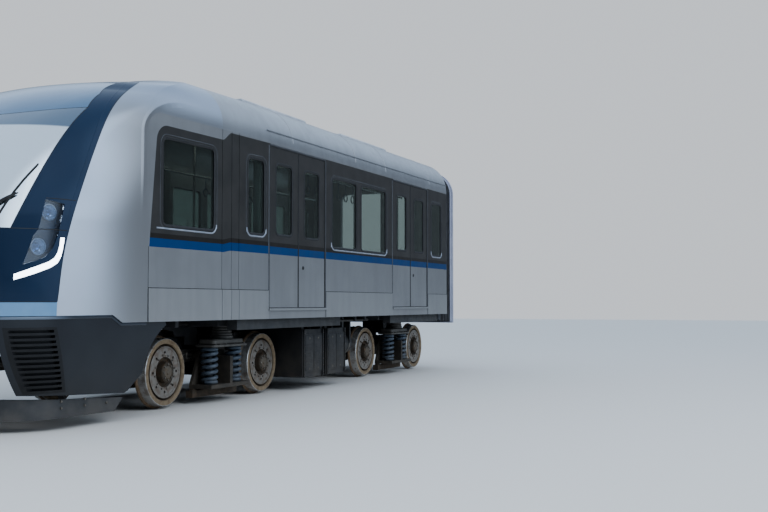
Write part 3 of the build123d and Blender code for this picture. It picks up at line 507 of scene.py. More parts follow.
# %% [markdown]
# ## Silver roof with a pale ceiling
#
# The roof is one shell, silver outside and pale inside. Which side a point is on follows from its
# depth below the outer section: a wide crown arc in the middle and a round shoulder at each side.

# %% Roof finish
def roof_paint(net):
    """Silver down to the lining's depth below the outer arcs, pale lining deeper in."""
    _, x, y, z = net.place()
    across = from_middle(net, x, y)

    def within(radius, centre_y, centre_z):
        """1 where the point lies deeper than the lining's depth inside an arc."""
        a = net.maths("SUBTRACT", across, centre_y)
        b = net.maths("SUBTRACT", z, centre_z)
        return net.maths("GREATER_THAN", radius - LINING_DEPTH, net.length(a, b))

    crown = within(CROWN_R, 0.0, CROWN_Z)
    shoulder = within(SHOULDER_R, SHOULDER_Y, SHOULDER_Z)
    at_side = net.maths("GREATER_THAN", across, CROWN_HALF)
    inner = net.maths("MULTIPLY_ADD", at_side, net.maths("SUBTRACT", shoulder, crown), crown)
    return net.blend(inner, net.clouds(ROOF_SILVER, ROOF_SILVER_PALE, 1.1), LINING)


ROOF_PAINT = finish("roof_paint", roof_paint, 0.34, waves=(0.06, 0.02), streaks=0.12, shades=0.05,
                    Metallic=SILVER_METAL, Coat_Weight=0.25, Coat_Roughness=0.1)
print("roof finish ready")


# %% [markdown]
# ## Silver mask and blue-black surround
#
# The silver arch of the cab and the blue-black surround of the screen are sprayed on mouldings
# that lie in one surface, and the line between the two colours sweeps up to the roof in one smooth
# curve. That line was read off the photograph at a few heights. A polynomial through these places
# gives the same curve to the paint, as a chain of multiply-add nodes, and to the bead of sealant
# that is drawn on it later. The flank swells outwards ahead of an arch-shaped crease beside the
# first window. The solids are plain there, so the swell is a broad, shallow relief in the finish,
# and the crease itself follows later as a slim ridge.

# %% Paint of the cab front
# height and place ahead of the rear wall of the line between silver and blue-black
COLOUR_LINE = [(1.16, 9.866), (1.45, 9.822), (1.70, 9.765), (1.95, 9.680), (2.20, 9.578), (2.50, 9.447),
               (2.78, 9.296), (2.91, 9.206), (3.04, 9.080), (3.15, 8.945), (3.275, 8.730), (3.37, 8.506),
               (3.46, 8.260)]
LINE_TERMS = np.polyfit([row[0] for row in COLOUR_LINE], [row[1] for row in COLOUR_LINE], 6)
NAVY = (0.009, 0.028, 0.064)
NAVY_DEEP = (0.007, 0.021, 0.050)
# quarter ellipse of the crease: its centre (place ahead, height) and its two half axes
ARCH_CENTRE = (7.95, 2.86)
ARCH_HALF = (0.75, 0.39)
CREASE = 0.24
SWELL = 0.20
CAB_HEART = (7.5, 0.0, 2.2)


def is_navy(net):
    """1 ahead of the colour line: the polynomial of the height by Horner's rule."""
    _, x, _, z = net.place()
    line = float(LINE_TERMS[0])
    for term in LINE_TERMS[1:]:
        line = net.maths("MULTIPLY_ADD", line, z, float(term))
    return net.maths("GREATER_THAN", net.maths("SUBTRACT", x, ahead(0.0)), line)


def faces_inwards(net):
    """1 where the surface looks back at the middle of the cab: the dot product of its direction
    with the line from the middle to the point is negative there."""
    outwards = net.add("ShaderNodeVectorMath", operation="SUBTRACT")
    net.feed(outwards.inputs[0], net.place()[0])
    outwards.inputs[1].default_value = (ahead(CAB_HEART[0]), *CAB_HEART[1:])
    product = net.add("ShaderNodeVectorMath", operation="DOT_PRODUCT")
    net.feed(product.inputs[0], net.add("ShaderNodeNewGeometry").outputs["Normal"])
    net.feed(product.inputs[1], outwards.outputs[0])
    return net.maths("LESS_THAN", product.outputs["Value"], 0.0)


def front_paint(net):
    """Silver behind the colour line, with painted shade that darkens it towards the walls and a
    painted sky reflection that tints the crown, blue-black ahead of the line and pale lining inside."""
    _, x, _, z = net.place()
    silver = net.clouds(SILVER, SILVER_PALE, 1.3)
    # painted shade: towards the walls the mask's silver darkens into the walls' shaded silver
    shade_near_wall = net.ramp(x, ahead(9.50), ahead(8.75))
    shade_near_wall = net.maths("MULTIPLY", shade_near_wall, net.ramp(z, 3.3, 3.0))
    silver = net.blend(shade_near_wall, silver, SHADED_WALL_SILVER)
    # painted sky reflection: the crown fades to a darker, bluer silver
    silver = net.blend(net.ramp(z, 2.9, 3.5), silver, CROWN_PAINTED_SKY)
    paint = net.blend(is_navy(net), silver, net.clouds(NAVY, NAVY_DEEP, 0.9))
    return net.blend(faces_inwards(net), paint, LINING)


def swell(net):
    """Height of the relief in metres. s is the distance outside a quarter ellipse, and the
    height falls with s at a crease and then with its square: h = -(crease s + swell s s)."""
    _, x, _, z = net.place()
    along = net.maths("MAXIMUM", net.maths("SUBTRACT", x, ahead(ARCH_CENTRE[0])), 0.0)
    up = net.maths("MAXIMUM", net.maths("SUBTRACT", z, ARCH_CENTRE[1]), 0.0)
    a = net.maths("DIVIDE", along, ARCH_HALF[0])
    b = net.maths("DIVIDE", up, ARCH_HALF[1])
    outside = net.maths("SUBTRACT", net.length(a, b), 1.0)
    s = net.maths("MAXIMUM", net.maths("MULTIPLY", outside, ARCH_HALF[0]), 0.0)
    edge = net.ramp(z, 1.9, 2.7, 0.0, CREASE)
    fall = net.maths("MULTIPLY", s, net.maths("MULTIPLY_ADD", s, SWELL, edge))
    near = net.ramp(x, ahead(7.6), ahead(8.5))
    near = net.maths("MULTIPLY", near, net.ramp(z, 3.45, 3.25))
    return net.maths("MULTIPLY", net.maths("MULTIPLY", fall, near), -1.0)


FRONT_PAINT = finish("front_paint", front_paint, 0.30, dust=(0.2, 1.5), waves=(0.05, 0.01),
                     form=swell, Coat_Roughness=0.05)
net = Wiring(FRONT_PAINT.node_tree)
shader = FRONT_PAINT.node_tree.nodes["Principled BSDF"]
silver_share = net.maths("SUBTRACT", 1.0, is_navy(net))
# the silver is a metallic paint under a clear coat, the blue-black mirrors much less
for socket, on_silver, on_navy in (("Metallic", SILVER_METAL, 0.0), ("Coat Weight", 0.35, 0.12),
                                   ("Specular IOR Level", 0.5, 0.28)):
    value = net.maths("MULTIPLY_ADD", silver_share, on_silver - on_navy, on_navy)
    net.feed(shader.inputs[socket], value)
line_height, line_place = np.array(COLOUR_LINE).T
off = np.abs(np.polyval(LINE_TERMS, line_height) - line_place).max()
print("front paint ready, colour line off by", off.round(4))


# %% [markdown]
# ## Glass
#
# Window glass is a thin grey-green plate: light goes through it, the sky mirrors in it. A
# Principled shader with full transmission does that, but its shadow is black, and the saloon
# behind it would be dark. So lamps see a Transparent shader in its place, chosen by the Light
# Path node, and the eye still sees glass. The windscreen carries a clear film that mirrors the
# sky almost like metal, with a darker band along its top.

# %% Glass materials
def glass(name, tint, shadow, waves=(0.02, 0.0), **plain):
    """Glass whose shadow is a tint instead of black."""
    made = finish(name, tint, 0.02, waves=waves, Transmission_Weight=1.0, **plain)
    net = Wiring(made.node_tree)
    shader = made.node_tree.nodes["Principled BSDF"]
    clear = net.add("ShaderNodeBsdfTransparent")
    net.feed(clear.inputs[0], shadow)
    choice = net.add("ShaderNodeMixShader")
    net.feed(choice.inputs[0], net.add("ShaderNodeLightPath").outputs["Is Shadow Ray"])
    net.feed(choice.inputs[1], shader.outputs[0])
    net.feed(choice.inputs[2], clear.outputs[0])
    net.feed(made.node_tree.nodes["Material Output"].inputs["Surface"], choice.outputs[0])
    return made


def screen_tint(net):
    """Clear reflecting film with a darker band along the top of the windscreen."""
    at_top = net.ramp(net.place()[3], 2.755, 2.775)
    return net.blend(at_top, (0.78, 0.82, 0.84), (0.15, 0.21, 0.28))


WINDOW_GLASS = glass("window_glass", (0.23, 0.29, 0.275), (0.5, 0.56, 0.54), IOR=1.5)
LAMP_GLASS = glass("lamp_glass", (0.44, 0.55, 0.70), (0.5, 0.56, 0.62), IOR=1.5, Coat_Weight=0.5)
SCREEN_GLASS = glass("screen_glass", screen_tint, (0.2, 0.23, 0.26), IOR=1.55, waves=(0.03, 0.0),
                     Metallic=0.75, Coat_Weight=1.0, Coat_Roughness=0.02)
print("glass ready")


# %% [markdown]
# ## Gloss, rubber, steel and dust
#
# The front wears a blue-grey metallic cap over the screen and a light blue lip under it, and the
# bumper is nearly black. Below the floor the finishes are all variations of one theme: a dark
# painted metal that brake dust and road dust have turned brown. The table lists them by name, so
# the whole set can be compared at a glance.

# %% Materials of the front and of the rest of the body
CAP_GLOSS = finish("cap_gloss", two_tones((0.095, 0.165, 0.255), (0.120, 0.195, 0.285), 1.2), 0.16,
                   waves=(0.05, 0.01), Metallic=0.7, Coat_Weight=0.3, Coat_Roughness=0.04)
LIP_PAINT = finish("lip_paint", two_tones((0.12, 0.24, 0.38), (0.17, 0.30, 0.45), 1.5), 0.22,
                   dust=(0.15, 1.5), waves=(0.04, 0.02), Coat_Weight=0.6, Coat_Roughness=0.06)
VALANCE_PAINT = finish("valance_paint", two_tones((0.007, 0.009, 0.013), (0.012, 0.015, 0.020), 1.5), 0.40,
                       dust=(0.12, 0.8), waves=(0.07, 0.08), Coat_Weight=0.1, Coat_Roughness=0.2)
GRILLE_BLACK = finish("grille_black", two_tones((0.003, 0.003, 0.004), (0.006, 0.006, 0.007), 9.0), 0.5,
                      dust=(0.06, 0.7), waves=(0.0, 0.2))
LAMP_HOUSING = finish("lamp_housing", two_tones((0.014, 0.030, 0.058), (0.022, 0.042, 0.075), 14.0), 0.25,
                      waves=(0.0, 0.1))
LAMP_STRIP = finish("lamp_strip", (0.9, 0.93, 1.0), 0.2, waves=(0.0, 0.02),
                    Emission_Color=(0.90, 0.95, 1.0), Emission_Strength=3.5)
RUBBER = finish("black_rubber", two_tones((0.012, 0.012, 0.013), (0.022, 0.021, 0.021), 25.0), 0.55,
                waves=(0.0, 0.25))
BELLOWS = finish("bellows_rubber", two_tones((0.085, 0.088, 0.100), (0.125, 0.128, 0.140), 6.0), 0.62,
                 streaks=0.3, waves=(0.15, 0.35))
RING_PAINT = finish("ring_paint", two_tones((0.33, 0.34, 0.41), (0.39, 0.40, 0.47), 3.0), 0.40,
                    streaks=0.15, waves=(0.04, 0.08), Coat_Weight=0.2)
END_PAINT = finish("end_wall_paint", two_tones((0.30, 0.31, 0.33), (0.36, 0.37, 0.39), 3.0), 0.42,
                   dust=(0.3, 2.0), streaks=0.2, waves=(0.06, 0.1))
UNIT_PAINT = finish("roof_unit_paint", two_tones((0.34, 0.36, 0.39), (0.42, 0.44, 0.47), 2.5), 0.45,
                    streaks=0.2, waves=(0.06, 0.12))
TRIM_METAL = finish("trim_metal", two_tones((0.34, 0.37, 0.42), (0.42, 0.45, 0.50), 12.0), 0.32,
                    waves=(0.02, 0.04), Metallic=0.6)
PORTAL_GREY = finish("portal_grey", two_tones((0.050, 0.053, 0.059), (0.075, 0.079, 0.086), 12.0), 0.40,
                     waves=(0.02, 0.06), Coat_Weight=0.2)
FLOOR_PLATE = finish("floor_plate", two_tones((0.22, 0.22, 0.23), (0.30, 0.30, 0.31), 20.0), 0.45,
                     waves=(0.0, 0.4), Metallic=0.6)
SEAT_SHELL = finish("seat_shell", two_tones((0.030, 0.075, 0.16), (0.045, 0.10, 0.20), 5.0), 0.38,
                    waves=(0.0, 0.15), Coat_Weight=0.2)
POLE_STEEL = finish("pole_steel", two_tones((0.60, 0.60, 0.58), (0.70, 0.70, 0.68), 8.0), 0.25,
                    waves=(0.0, 0.1), Metallic=1.0)
CONSOLE = finish("console_plastic", two_tones((0.035, 0.036, 0.040), (0.05, 0.05, 0.055), 6.0), 0.5,
                 waves=(0.0, 0.3))
print("materials so far", len(bpy.data.materials))

# %% Materials of the underframe and the bogies
# name: first tone, second tone, size of the clouds, roughness, dust amount, dust height, metallic
UNDER_TABLE = {
    "underframe_paint": ((0.020, 0.023, 0.027), (0.032, 0.035, 0.039), 7.0, 0.62, 0.26, 1.9, 0.0),
    "bogie_paint": ((0.014, 0.013, 0.012), (0.036, 0.030, 0.024), 9.0, 0.60, 0.45, 1.0, 0.1),
    "motor_paint": ((0.018, 0.017, 0.017), (0.036, 0.033, 0.030), 12.0, 0.55, 0.40, 0.9, 0.1),
    "case_paint": ((0.013, 0.014, 0.016), (0.022, 0.022, 0.023), 4.0, 0.50, 0.35, 0.9, 0.0),
    "brake_iron": ((0.050, 0.040, 0.030), (0.095, 0.065, 0.042), 18.0, 0.70, 0.50, 0.6, 0.3),
    "frame_paint": ((0.022, 0.025, 0.029), (0.034, 0.036, 0.040), 5.0, 0.50, 0.35, 0.7, 0.0),
    "coupler_steel": ((0.090, 0.088, 0.085), (0.150, 0.140, 0.125), 16.0, 0.48, 0.45, 1.1, 0.6),
    "spring_paint": ((0.036, 0.052, 0.074), (0.062, 0.080, 0.102), 14.0, 0.42, 0.35, 0.8, 0.0),
    "spring_plate": ((0.070, 0.068, 0.064), (0.120, 0.115, 0.105), 9.0, 0.50, 0.35, 1.4, 0.2),
    "pipe_paint": ((0.030, 0.030, 0.032), (0.060, 0.055, 0.050), 15.0, 0.50, 0.45, 1.2, 0.2),
    "bolt_steel": ((0.110, 0.100, 0.090), (0.220, 0.200, 0.170), 30.0, 0.45, 0.45, 1.1, 0.7),
}
UNDER = {}
for name, (first, second, clouds, rough, amount, top, metal) in UNDER_TABLE.items():
    UNDER[name] = finish(name, two_tones(first, second, clouds), rough, dust=(amount, top),
                         waves=(0.05, 0.5), shades=0.08, Metallic=metal)
print("running gear finishes", len(UNDER))


# %% [markdown]
# ## Wheels
#
# The wheels tell a story in rings: the tread is polished by rolling, the tyre's side is brown with
# brake dust, the brake disc shines between two dark rings and the hub is greasy. All of it is
# round about the axle, so each axle gets a material that measures the distance from its own
# centre and chooses the ring from it. The bright tread follows the same way, from the radius
# alone.

# %% Function for a wheel finish
AXLE_Z = 0.398
# rings from the centre outwards: upper radius, colour, roughness
WHEEL_RINGS = [
    (0.070, (0.140, 0.120, 0.095), 0.50),
    (0.118, (0.075, 0.060, 0.045), 0.60),
    (0.163, (0.060, 0.045, 0.032), 0.70),
    (0.282, (0.260, 0.240, 0.215), 0.35),
    (0.305, (0.055, 0.040, 0.028), 0.75),
    (0.358, (0.300, 0.230, 0.150), 0.60),
    (0.3735, (0.500, 0.490, 0.470), 0.22),
    (0.420, (0.200, 0.140, 0.090), 0.50),
]


def wheel_finish(name, axle_x):
    """Steel wheel whose colour and roughness follow the distance from the axle."""
    made = bpy.data.materials.new(name)
    made.use_nodes = True
    net = Wiring(made.node_tree)
    shader = made.node_tree.nodes["Principled BSDF"]
    _, x, _, z = net.place()
    radius = net.length(net.maths("SUBTRACT", x, axle_x), net.maths("SUBTRACT", z, AXLE_Z))
    _, colour, rough = WHEEL_RINGS[0]
    for (edge, _, _), (_, tone, grain) in zip(WHEEL_RINGS, WHEEL_RINGS[1:]):
        past = net.ramp(radius, edge - 0.002, edge + 0.002)
        colour = net.blend(past, colour, tone)
        rough = net.maths("MULTIPLY_ADD", past, net.maths("SUBTRACT", grain, rough), rough)
    rust = net.ramp(net.noise(16.0, detail=6.0), 0.42, 0.68, 0.0, 0.55)
    colour = net.blend(rust, colour, (0.13, 0.075, 0.038))
    colour, rough = net.use(ROAD_DUST, colour, rough, 0.35, 1.2)[:2]
    net.feed(shader.inputs["Base Color"], colour)
    net.feed(shader.inputs["Roughness"], rough)
    shader.inputs["Metallic"].default_value = 0.55
    net.feed(shader.inputs["Normal"], net.use(METAL_WAVES, 0.0, 0.5)[0])
    return made


print("wheel rings", len(WHEEL_RINGS), "out to", WHEEL_RINGS[-1][0], "m")


# %% Give every solid its finish
FINISHES = {
    "side_wall_left": WALL_PAINT, "side_wall_right": WALL_PAINT, "door_leaves_left": DOOR_PAINT,
    "door_leaves_right": DOOR_PAINT, "window_glass_left": WINDOW_GLASS, "window_glass_right": WINDOW_GLASS,
    "roof_shell": ROOF_PAINT, "roof_climate_units": UNIT_PAINT, "cab_mask": FRONT_PAINT,
    "nose_lip": LIP_PAINT, "windscreen": SCREEN_GLASS, "front_roof_cap": CAP_GLOSS,
    "light_strips": LAMP_STRIP, "front_surround": FRONT_PAINT, "headlamp_glass": LAMP_GLASS,
    "headlamps": LAMP_HOUSING, "bumper_valance": VALANCE_PAINT, "front_grilles": GRILLE_BLACK,
    "obstacle_deflector": UNDER["frame_paint"], "underframe": UNDER["underframe_paint"],
    "rear_end_wall": END_PAINT, "gangway_bellows": BELLOWS, "gangway_frame": RING_PAINT,
    "gangway_floor": FLOOR_PLATE, "front_coupler": UNDER["coupler_steel"],
    "rear_drawbar": UNDER["coupler_steel"], "underfloor_equipment": UNDER["case_paint"],
    "saloon_seats": SEAT_SHELL, "grab_poles": POLE_STEEL, "front_console": CONSOLE,
}
BOGIE_FINISHES = {
    "bogie_frame_": UNDER["bogie_paint"], "axle_boxes_": UNDER["bogie_paint"],
    "secondary_springs_": UNDER["spring_paint"], "traction_motors_": UNDER["motor_paint"],
    "track_brakes_": UNDER["brake_iron"],
}
for end in ("front", "rear"):
    for stem, made in BOGIE_FINISHES.items():
        FINISHES[stem + end] = made
    for tag in ("a", "b"):
        node = "wheelset_" + end + "_" + tag
        low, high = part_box(node)
        FINISHES[node] = wheel_finish("wheel_steel_" + end + "_" + tag, (low.x + high.x) / 2)
for node, made in FINISHES.items():
    NODES[node].data.materials.clear()
    NODES[node].data.materials.append(made)
print("solids finished", len(FINISHES), "left over", sorted(set(NODES) - set(FINISHES)))


# %% [markdown]
# ## Window rubbers, sills and borders
#
# Each pane sits in a black rubber that laps a little over the glass and a little over the wall.
# It could be an extruded curve, but here the loop of the pane's edge is an array of points with
# outward directions, and the rubber's section is a short table of distances from that loop, so
# one broadcast gives the whole ring. The bright sill strips under the panes are the same kind of
# section, carried only along the lower edge with a short hook at each end, and a thin grey border
# runs round every window a few centimetres out.

# %% Tables of windows and doors
WINDOW_TOP = 2.840
WINDOW_CORNER = 0.070
# rear edge, front edge, lower edge
WINDOWS = [(0.285, 0.765, 1.950), (2.745, 3.665, 1.890), (3.815, 4.625, 1.890),
           (6.450, 6.820, 1.950), (7.475, 8.395, 1.935)]
# the second and the third window share a sill and a border
PAIR = (WINDOWS[1][0], WINDOWS[2][1], WINDOWS[1][2])
DOORS = [1.725, 5.590]
DOOR_HALF = 0.750
DOOR_LOW = 1.085
DOOR_HIGH = 3.035
DOOR_CORNER = 0.012
LEAF_GLASS_HALF = 0.215
LEAF_GLASS_LOW = 1.970
DOOR_INSET = 0.005
LOOP_STEPS = 7
SILL_STEPS = 6
SIDES = {"left": 1, "right": -1}
BORDER_OUT = 0.036
# window, distance of the sill from the pane, height of its hooks above the pane's lower edge
SILLS = [(WINDOWS[0], 0.022, 0.02), (PAIR, 0.026, 0.01), (WINDOWS[3], 0.022, 0.02)]
# the foremost sill runs on to the band's front end
LAST_SILL = ((WINDOWS[4][0], BAND_FRONT - 0.03, WINDOWS[4][2]), 0.028, 0.03)

# section rows: distance outwards from the pane's edge, distance in front of the wall
RUBBER_SECTION = [(-0.018, -0.005), (-0.017, -0.001), (-0.008, 0.004), (0.009, 0.0045), (0.014, 0.001),
                  (0.014, -0.003), (0.0, -0.005)]
SILL_SECTION = [(-0.008, -0.002), (-0.008, 0.006), (-0.004, 0.009), (0.004, 0.009), (0.008, 0.005),
                (0.008, -0.002)]
BORDER_SECTION = [(-0.004, -0.002), (-0.004, 0.002), (0.0, 0.003), (0.004, 0.002), (0.004, -0.002)]


def lower_part(window, outside, hook, front=True):
    """Open path under a pane: down from the hook's height at the rear, round the corner, straight
    on, and up again at the front if that is asked for."""
    u0, u1, low = window
    loop, outward = rounded_loop(u0 - outside, u1 + outside, low - outside, WINDOW_TOP,
                                 WINDOW_CORNER + outside, SILL_STEPS)
    bottom = slice(2 * (SILL_STEPS + 1), 4 * (SILL_STEPS + 1))
    path, away = loop[bottom], outward[bottom]
    path, away = np.vstack([[path[0, 0], low + hook], path]), np.vstack([away[:1], away])
    if front:
        return np.vstack([path, [path[-1, 0], low + hook]]), np.vstack([away, away[-1:]])
    return path[:-SILL_STEPS], away[:-SILL_STEPS]


print("windows", len(WINDOWS), "and doors", len(DOORS), "on each side")


# %% Window rubbers, sills and borders on both sides
for side_name, side in SIDES.items():
    rubbers = Piece("window_rubbers_" + side_name)
    for u0, u1, low in WINDOWS:
        loop = rounded_loop(u0, u1, low, WINDOW_TOP, WINDOW_CORNER, LOOP_STEPS)
        rubbers.grid(wall_band(*loop, RUBBER_SECTION, side), ring=True)
    rubbers.make(RUBBER, "charcoal_paint")

    sills = Piece("window_sills_" + side_name)
    for path in [lower_part(*sill) for sill in SILLS] + [lower_part(*LAST_SILL, front=False)]:
        sills.grid(wall_band(*path, SILL_SECTION, side))
    sills.make(TRIM_METAL, "pole_steel")

    borders = Piece("window_borders_" + side_name)
    for u0, u1, low in (WINDOWS[0], PAIR, WINDOWS[3], WINDOWS[4]):
        loop = rounded_loop(u0 - BORDER_OUT, u1 + BORDER_OUT, low - BORDER_OUT, WINDOW_TOP + BORDER_OUT,
                            WINDOW_CORNER + BORDER_OUT, LOOP_STEPS)
        borders.grid(wall_band(*loop, BORDER_SECTION, side), ring=True)
    borders.make(PORTAL_GREY, "roof_grey")


# %% [markdown]
# ## Doors
#
# The leaves are plug doors: closed, they lie almost flush, held in a rubber that shows as a thin
# black line round the opening and as a double line where the leaves meet. A slim dark grey frame
# borders each opening, every leaf has its own window rubber, and the rear leaf of each pair has a
# small emergency lock. Seals that follow the opening are rings on the wall; the meeting line is
# two straight beads.

# %% Sections of seals, frames and locks
SEAL_SECTION = [(-0.009, -0.006), (-0.008, -0.001), (0.001, 0.002), (0.006, 0.002), (0.007, -0.003)]
FRAME_SECTION = [(0.008, -0.003), (0.009, 0.003), (0.022, 0.004), (0.026, 0.001), (0.026, -0.003)]
MEETING_SECTION = [(0.0115, -0.006), (0.0105, -0.002), (0.0025, -0.001), (0.0005, -0.003),
                   (0.0005, -0.006)]
LEAF_SECTION = [(a, b - DOOR_INSET) for a, b in RUBBER_SECTION]
LOCK_PROFILE = [(-0.002, 0.024), (0.003, 0.024), (0.005, 0.021), (0.003, 0.016), (0.003, 0.008),
                (0.006, 0.006)]
# distance ahead of the door's middle, height
LOCK_PLACE = (-0.13, 1.592)
FRAME_RISE = 0.006
print("door opening", 2 * DOOR_HALF, "by", round(DOOR_HIGH - DOOR_LOW, 3), "m")

# %% Door seals, frames, leaf rubbers and locks
for side_name, side in SIDES.items():
    seals, frames, locks = (Piece("door_" + part + "_" + side_name) for part in ("seals", "frames", "locks"))
    for door in DOORS:
        loop = rounded_loop(door - DOOR_HALF, door + DOOR_HALF, DOOR_LOW, DOOR_HIGH, DOOR_CORNER, 2)
        seals.grid(wall_band(*loop, SEAL_SECTION, side), ring=True)
        for turn in (-1, 1):
            away = [(turn, 0.0)] * 2
            path = [(door, DOOR_LOW + DOOR_CORNER), (door, DOOR_HIGH - DOOR_CORNER)]
            seals.grid(wall_band(path, away, MEETING_SECTION, side))
            middle = door + turn * DOOR_HALF / 2
            pane = rounded_loop(middle - LEAF_GLASS_HALF, middle + LEAF_GLASS_HALF, LEAF_GLASS_LOW,
                                WINDOW_TOP, WINDOW_CORNER, LOOP_STEPS)
            seals.grid(wall_band(*pane, LEAF_SECTION, side), ring=True)
            edge = door + turn * DOOR_HALF
            post = [(edge, DOOR_LOW), (edge, DOOR_HIGH + FRAME_RISE)]
            frames.grid(wall_band(post, away, FRAME_SECTION, side))
        top = [(door - DOOR_HALF, DOOR_HIGH), (door + DOOR_HALF, DOOR_HIGH)]
        frames.grid(wall_band(top, [(0.0, 1.0)] * 2, FRAME_SECTION, side))
        centre = on_wall(door + LOCK_PLACE[0], -DOOR_INSET, LOCK_PLACE[1], side)
        locks.grid(turned(LOCK_PROFILE, centre, (0, side, 0), 20))
    seals.make(RUBBER, "charcoal_paint")
    frames.make(PORTAL_GREY, "roof_grey")
    locks.make(UNDER["case_paint"], "motor_dark")


# %% [markdown]
# ## Finding the curved front
#
# The nose is a loft, and nothing drawn by hand would lie on it. A ray that is shot at the solids
# and stopped by their surface gives the exact place of a seam, a wiper or a trim line. Blender's
# BVH tree answers such questions quickly, also for several solids at once, so each line is drawn
# as a flat path first, in side view, in front view or around the nose, and then cast onto the
# body.

# %% Functions that cast paths onto the solids
NOSE_CENTRE = 8.6


def surface_of(*names):
    """One search tree over the meshes of several solids."""
    points, faces = [], []
    for name in names:
        mesh = NODES[name].data
        start = len(points)
        points.extend(tuple(v.co) for v in mesh.vertices)
        faces.extend([start + i for i in p.vertices] for p in mesh.polygons)
    return BVHTree.FromPolygons(points, faces)


def cast(tree, origins, direction):
    """Places and outward directions where rays from the origins first meet the tree. Rays that
    meet nothing are dropped."""
    places, normals = [], []
    for origin, way in zip(origins, np.broadcast_to(direction, np.shape(origins))):
        place, normal, _, _ = tree.ray_cast(Vector(origin), Vector(way).normalized())
        if place is not None:
            places.append(tuple(place))
            normals.append(tuple(normal if normal.dot(Vector(way)) < 0 else -normal))
    return np.array(places), np.array(normals)


def from_side(tree, path, side):
    """Casts a path of (place ahead, height) from beside the car."""
    path = np.asarray(path, float)
    origins = np.column_stack([ahead(path[:, 0]), np.full(len(path), side * 3.0), path[:, 1]])
    return cast(tree, origins, (0, -side, 0))


def from_front(tree, path):
    """Casts a path of (distance left of the middle, height) from ahead of the car."""
    path = np.asarray(path, float)
    return cast(tree, np.column_stack([np.full(len(path), ahead(13.0)), path]), REARWARD)


def around_cab(height, turns, radius):
    """Places on a level circle about a point under the cab, and their outward directions."""
    way = np.column_stack([np.cos(turns), np.sin(turns), 0 * turns])
    return np.array([ahead(NOSE_CENTRE), 0.0, height]) + radius * way, way


def around_nose(tree, height, reach, count):
    """Casts rays at one height towards the point under the cab, from reach degrees on the right
    to as many on the left."""
    origins, way = around_cab(height, np.radians(np.linspace(-reach, reach, count)), 4.0)
    return cast(tree, origins, -way)


FRONT = surface_of("cab_mask", "nose_lip", "windscreen", "front_roof_cap", "light_strips",
                   "front_surround", "headlamp_glass")
FLANK = surface_of("cab_mask", "side_wall_left", "side_wall_right")
foremost = around_nose(FRONT, 1.6, 30, 7)[0][:, 0].max()
print("the front reaches", round(float(foremost - REAR_WALL_X), 3), "m ahead of the rear wall")


# %% Functions for lines and beads on the front
def arc(first, middle, last, steps):
    """Points on the circle through three places: the centre solves two equal-distance
    equations, and the angle runs from the first to the last through the middle."""
    p, q, r = (np.asarray(v, float) for v in (first, middle, last))
    rows = np.array([q - p, r - p])
    centre = np.linalg.solve(rows, 0.5 * np.array([q @ q - p @ p, r @ r - p @ p]))
    angles = [math.atan2(*(v - centre)[::-1]) for v in (p, q, r)]
    full = 2 * math.pi
    span = (angles[2] - angles[0]) % full
    if (angles[1] - angles[0]) % full > span:
        span -= full
    t = angles[0] + np.linspace(0, span, steps)
    return centre + np.linalg.norm(p - centre) * np.column_stack([np.cos(t), np.sin(t)])


def spread(corners, count):
    """Places along a line of corners, as many on each of its stretches."""
    corners = np.asarray(corners, float)
    at = np.linspace(0, len(corners) - 1, count)
    return np.column_stack([np.interp(at, np.arange(len(corners)), column) for column in corners.T])


def bead(places, normals, section):
    """Carries a section along cast places: every section row is (distance across the path,
    distance along the surface's outward direction), and across is the cross product of the
    path's direction with that outward direction."""
    across = np.cross(np.gradient(places, axis=0), normals)
    across /= np.linalg.norm(across, axis=1, keepdims=True)
    section = np.asarray(section, float)
    return (places[:, None, :] + across[:, None, :] * section[None, :, 0, None]
            + normals[:, None, :] * section[None, :, 1, None])


print("half circle of", len(arc((1, 0), (0, 1), (-1, 0), 5)), "points")


# %% [markdown]
# ## Seams of the front
#
# The front is a handful of large mouldings: cap, screen, surround, lip and silver mask. The
# joints between them are filled with black sealant, drawn here as a thin, slightly crowned bead
# that is cast onto the mouldings. The outlines are those of the solids, and the bead between
# silver and blue-black follows the colour line of the paint.

# %% Lines of the seams
SEAM_SECTION = [(-0.0035, -0.004), (-0.0035, 0.0004), (0.0, 0.0012), (0.0035, 0.0004), (0.0035, -0.004)]
# distance left of the middle, height
SCREEN_TOP = arc((1.030, 2.996), (0.0, 2.865), (-1.030, 2.996), 50)
SCREEN_SIDE = arc((1.030, 2.996), (1.062, 2.560), (1.000, 1.790), 40)
SCREEN_FOOT = np.linspace((-1.0, 1.790), (1.0, 1.790), 40)
CAP_SIDE = [(1.030, 2.996), (0.945, 3.190), (0.760, 3.400), (0.710, 3.520)]
# place ahead of the rear wall, height
line_height = np.linspace(COLOUR_LINE[0][0], COLOUR_LINE[-1][0], 90)
SILVER_EDGE = np.column_stack([np.polyval(LINE_TERMS, line_height), line_height])
UPPER_PANEL_LINE = np.linspace((9.645, 2.075), (9.975, 2.072), 30)
LOWER_PANEL_LINE = np.linspace((9.755, 1.796), (10.330, 1.790), 30)
WALL_JOINT = np.linspace((8.611, 0.965), (8.611, STRIPE_FRONT[0]), 40)
LIP_BACK = 9.866
LIP_TOP = 1.157
print("points on the colour line", len(SILVER_EDGE))

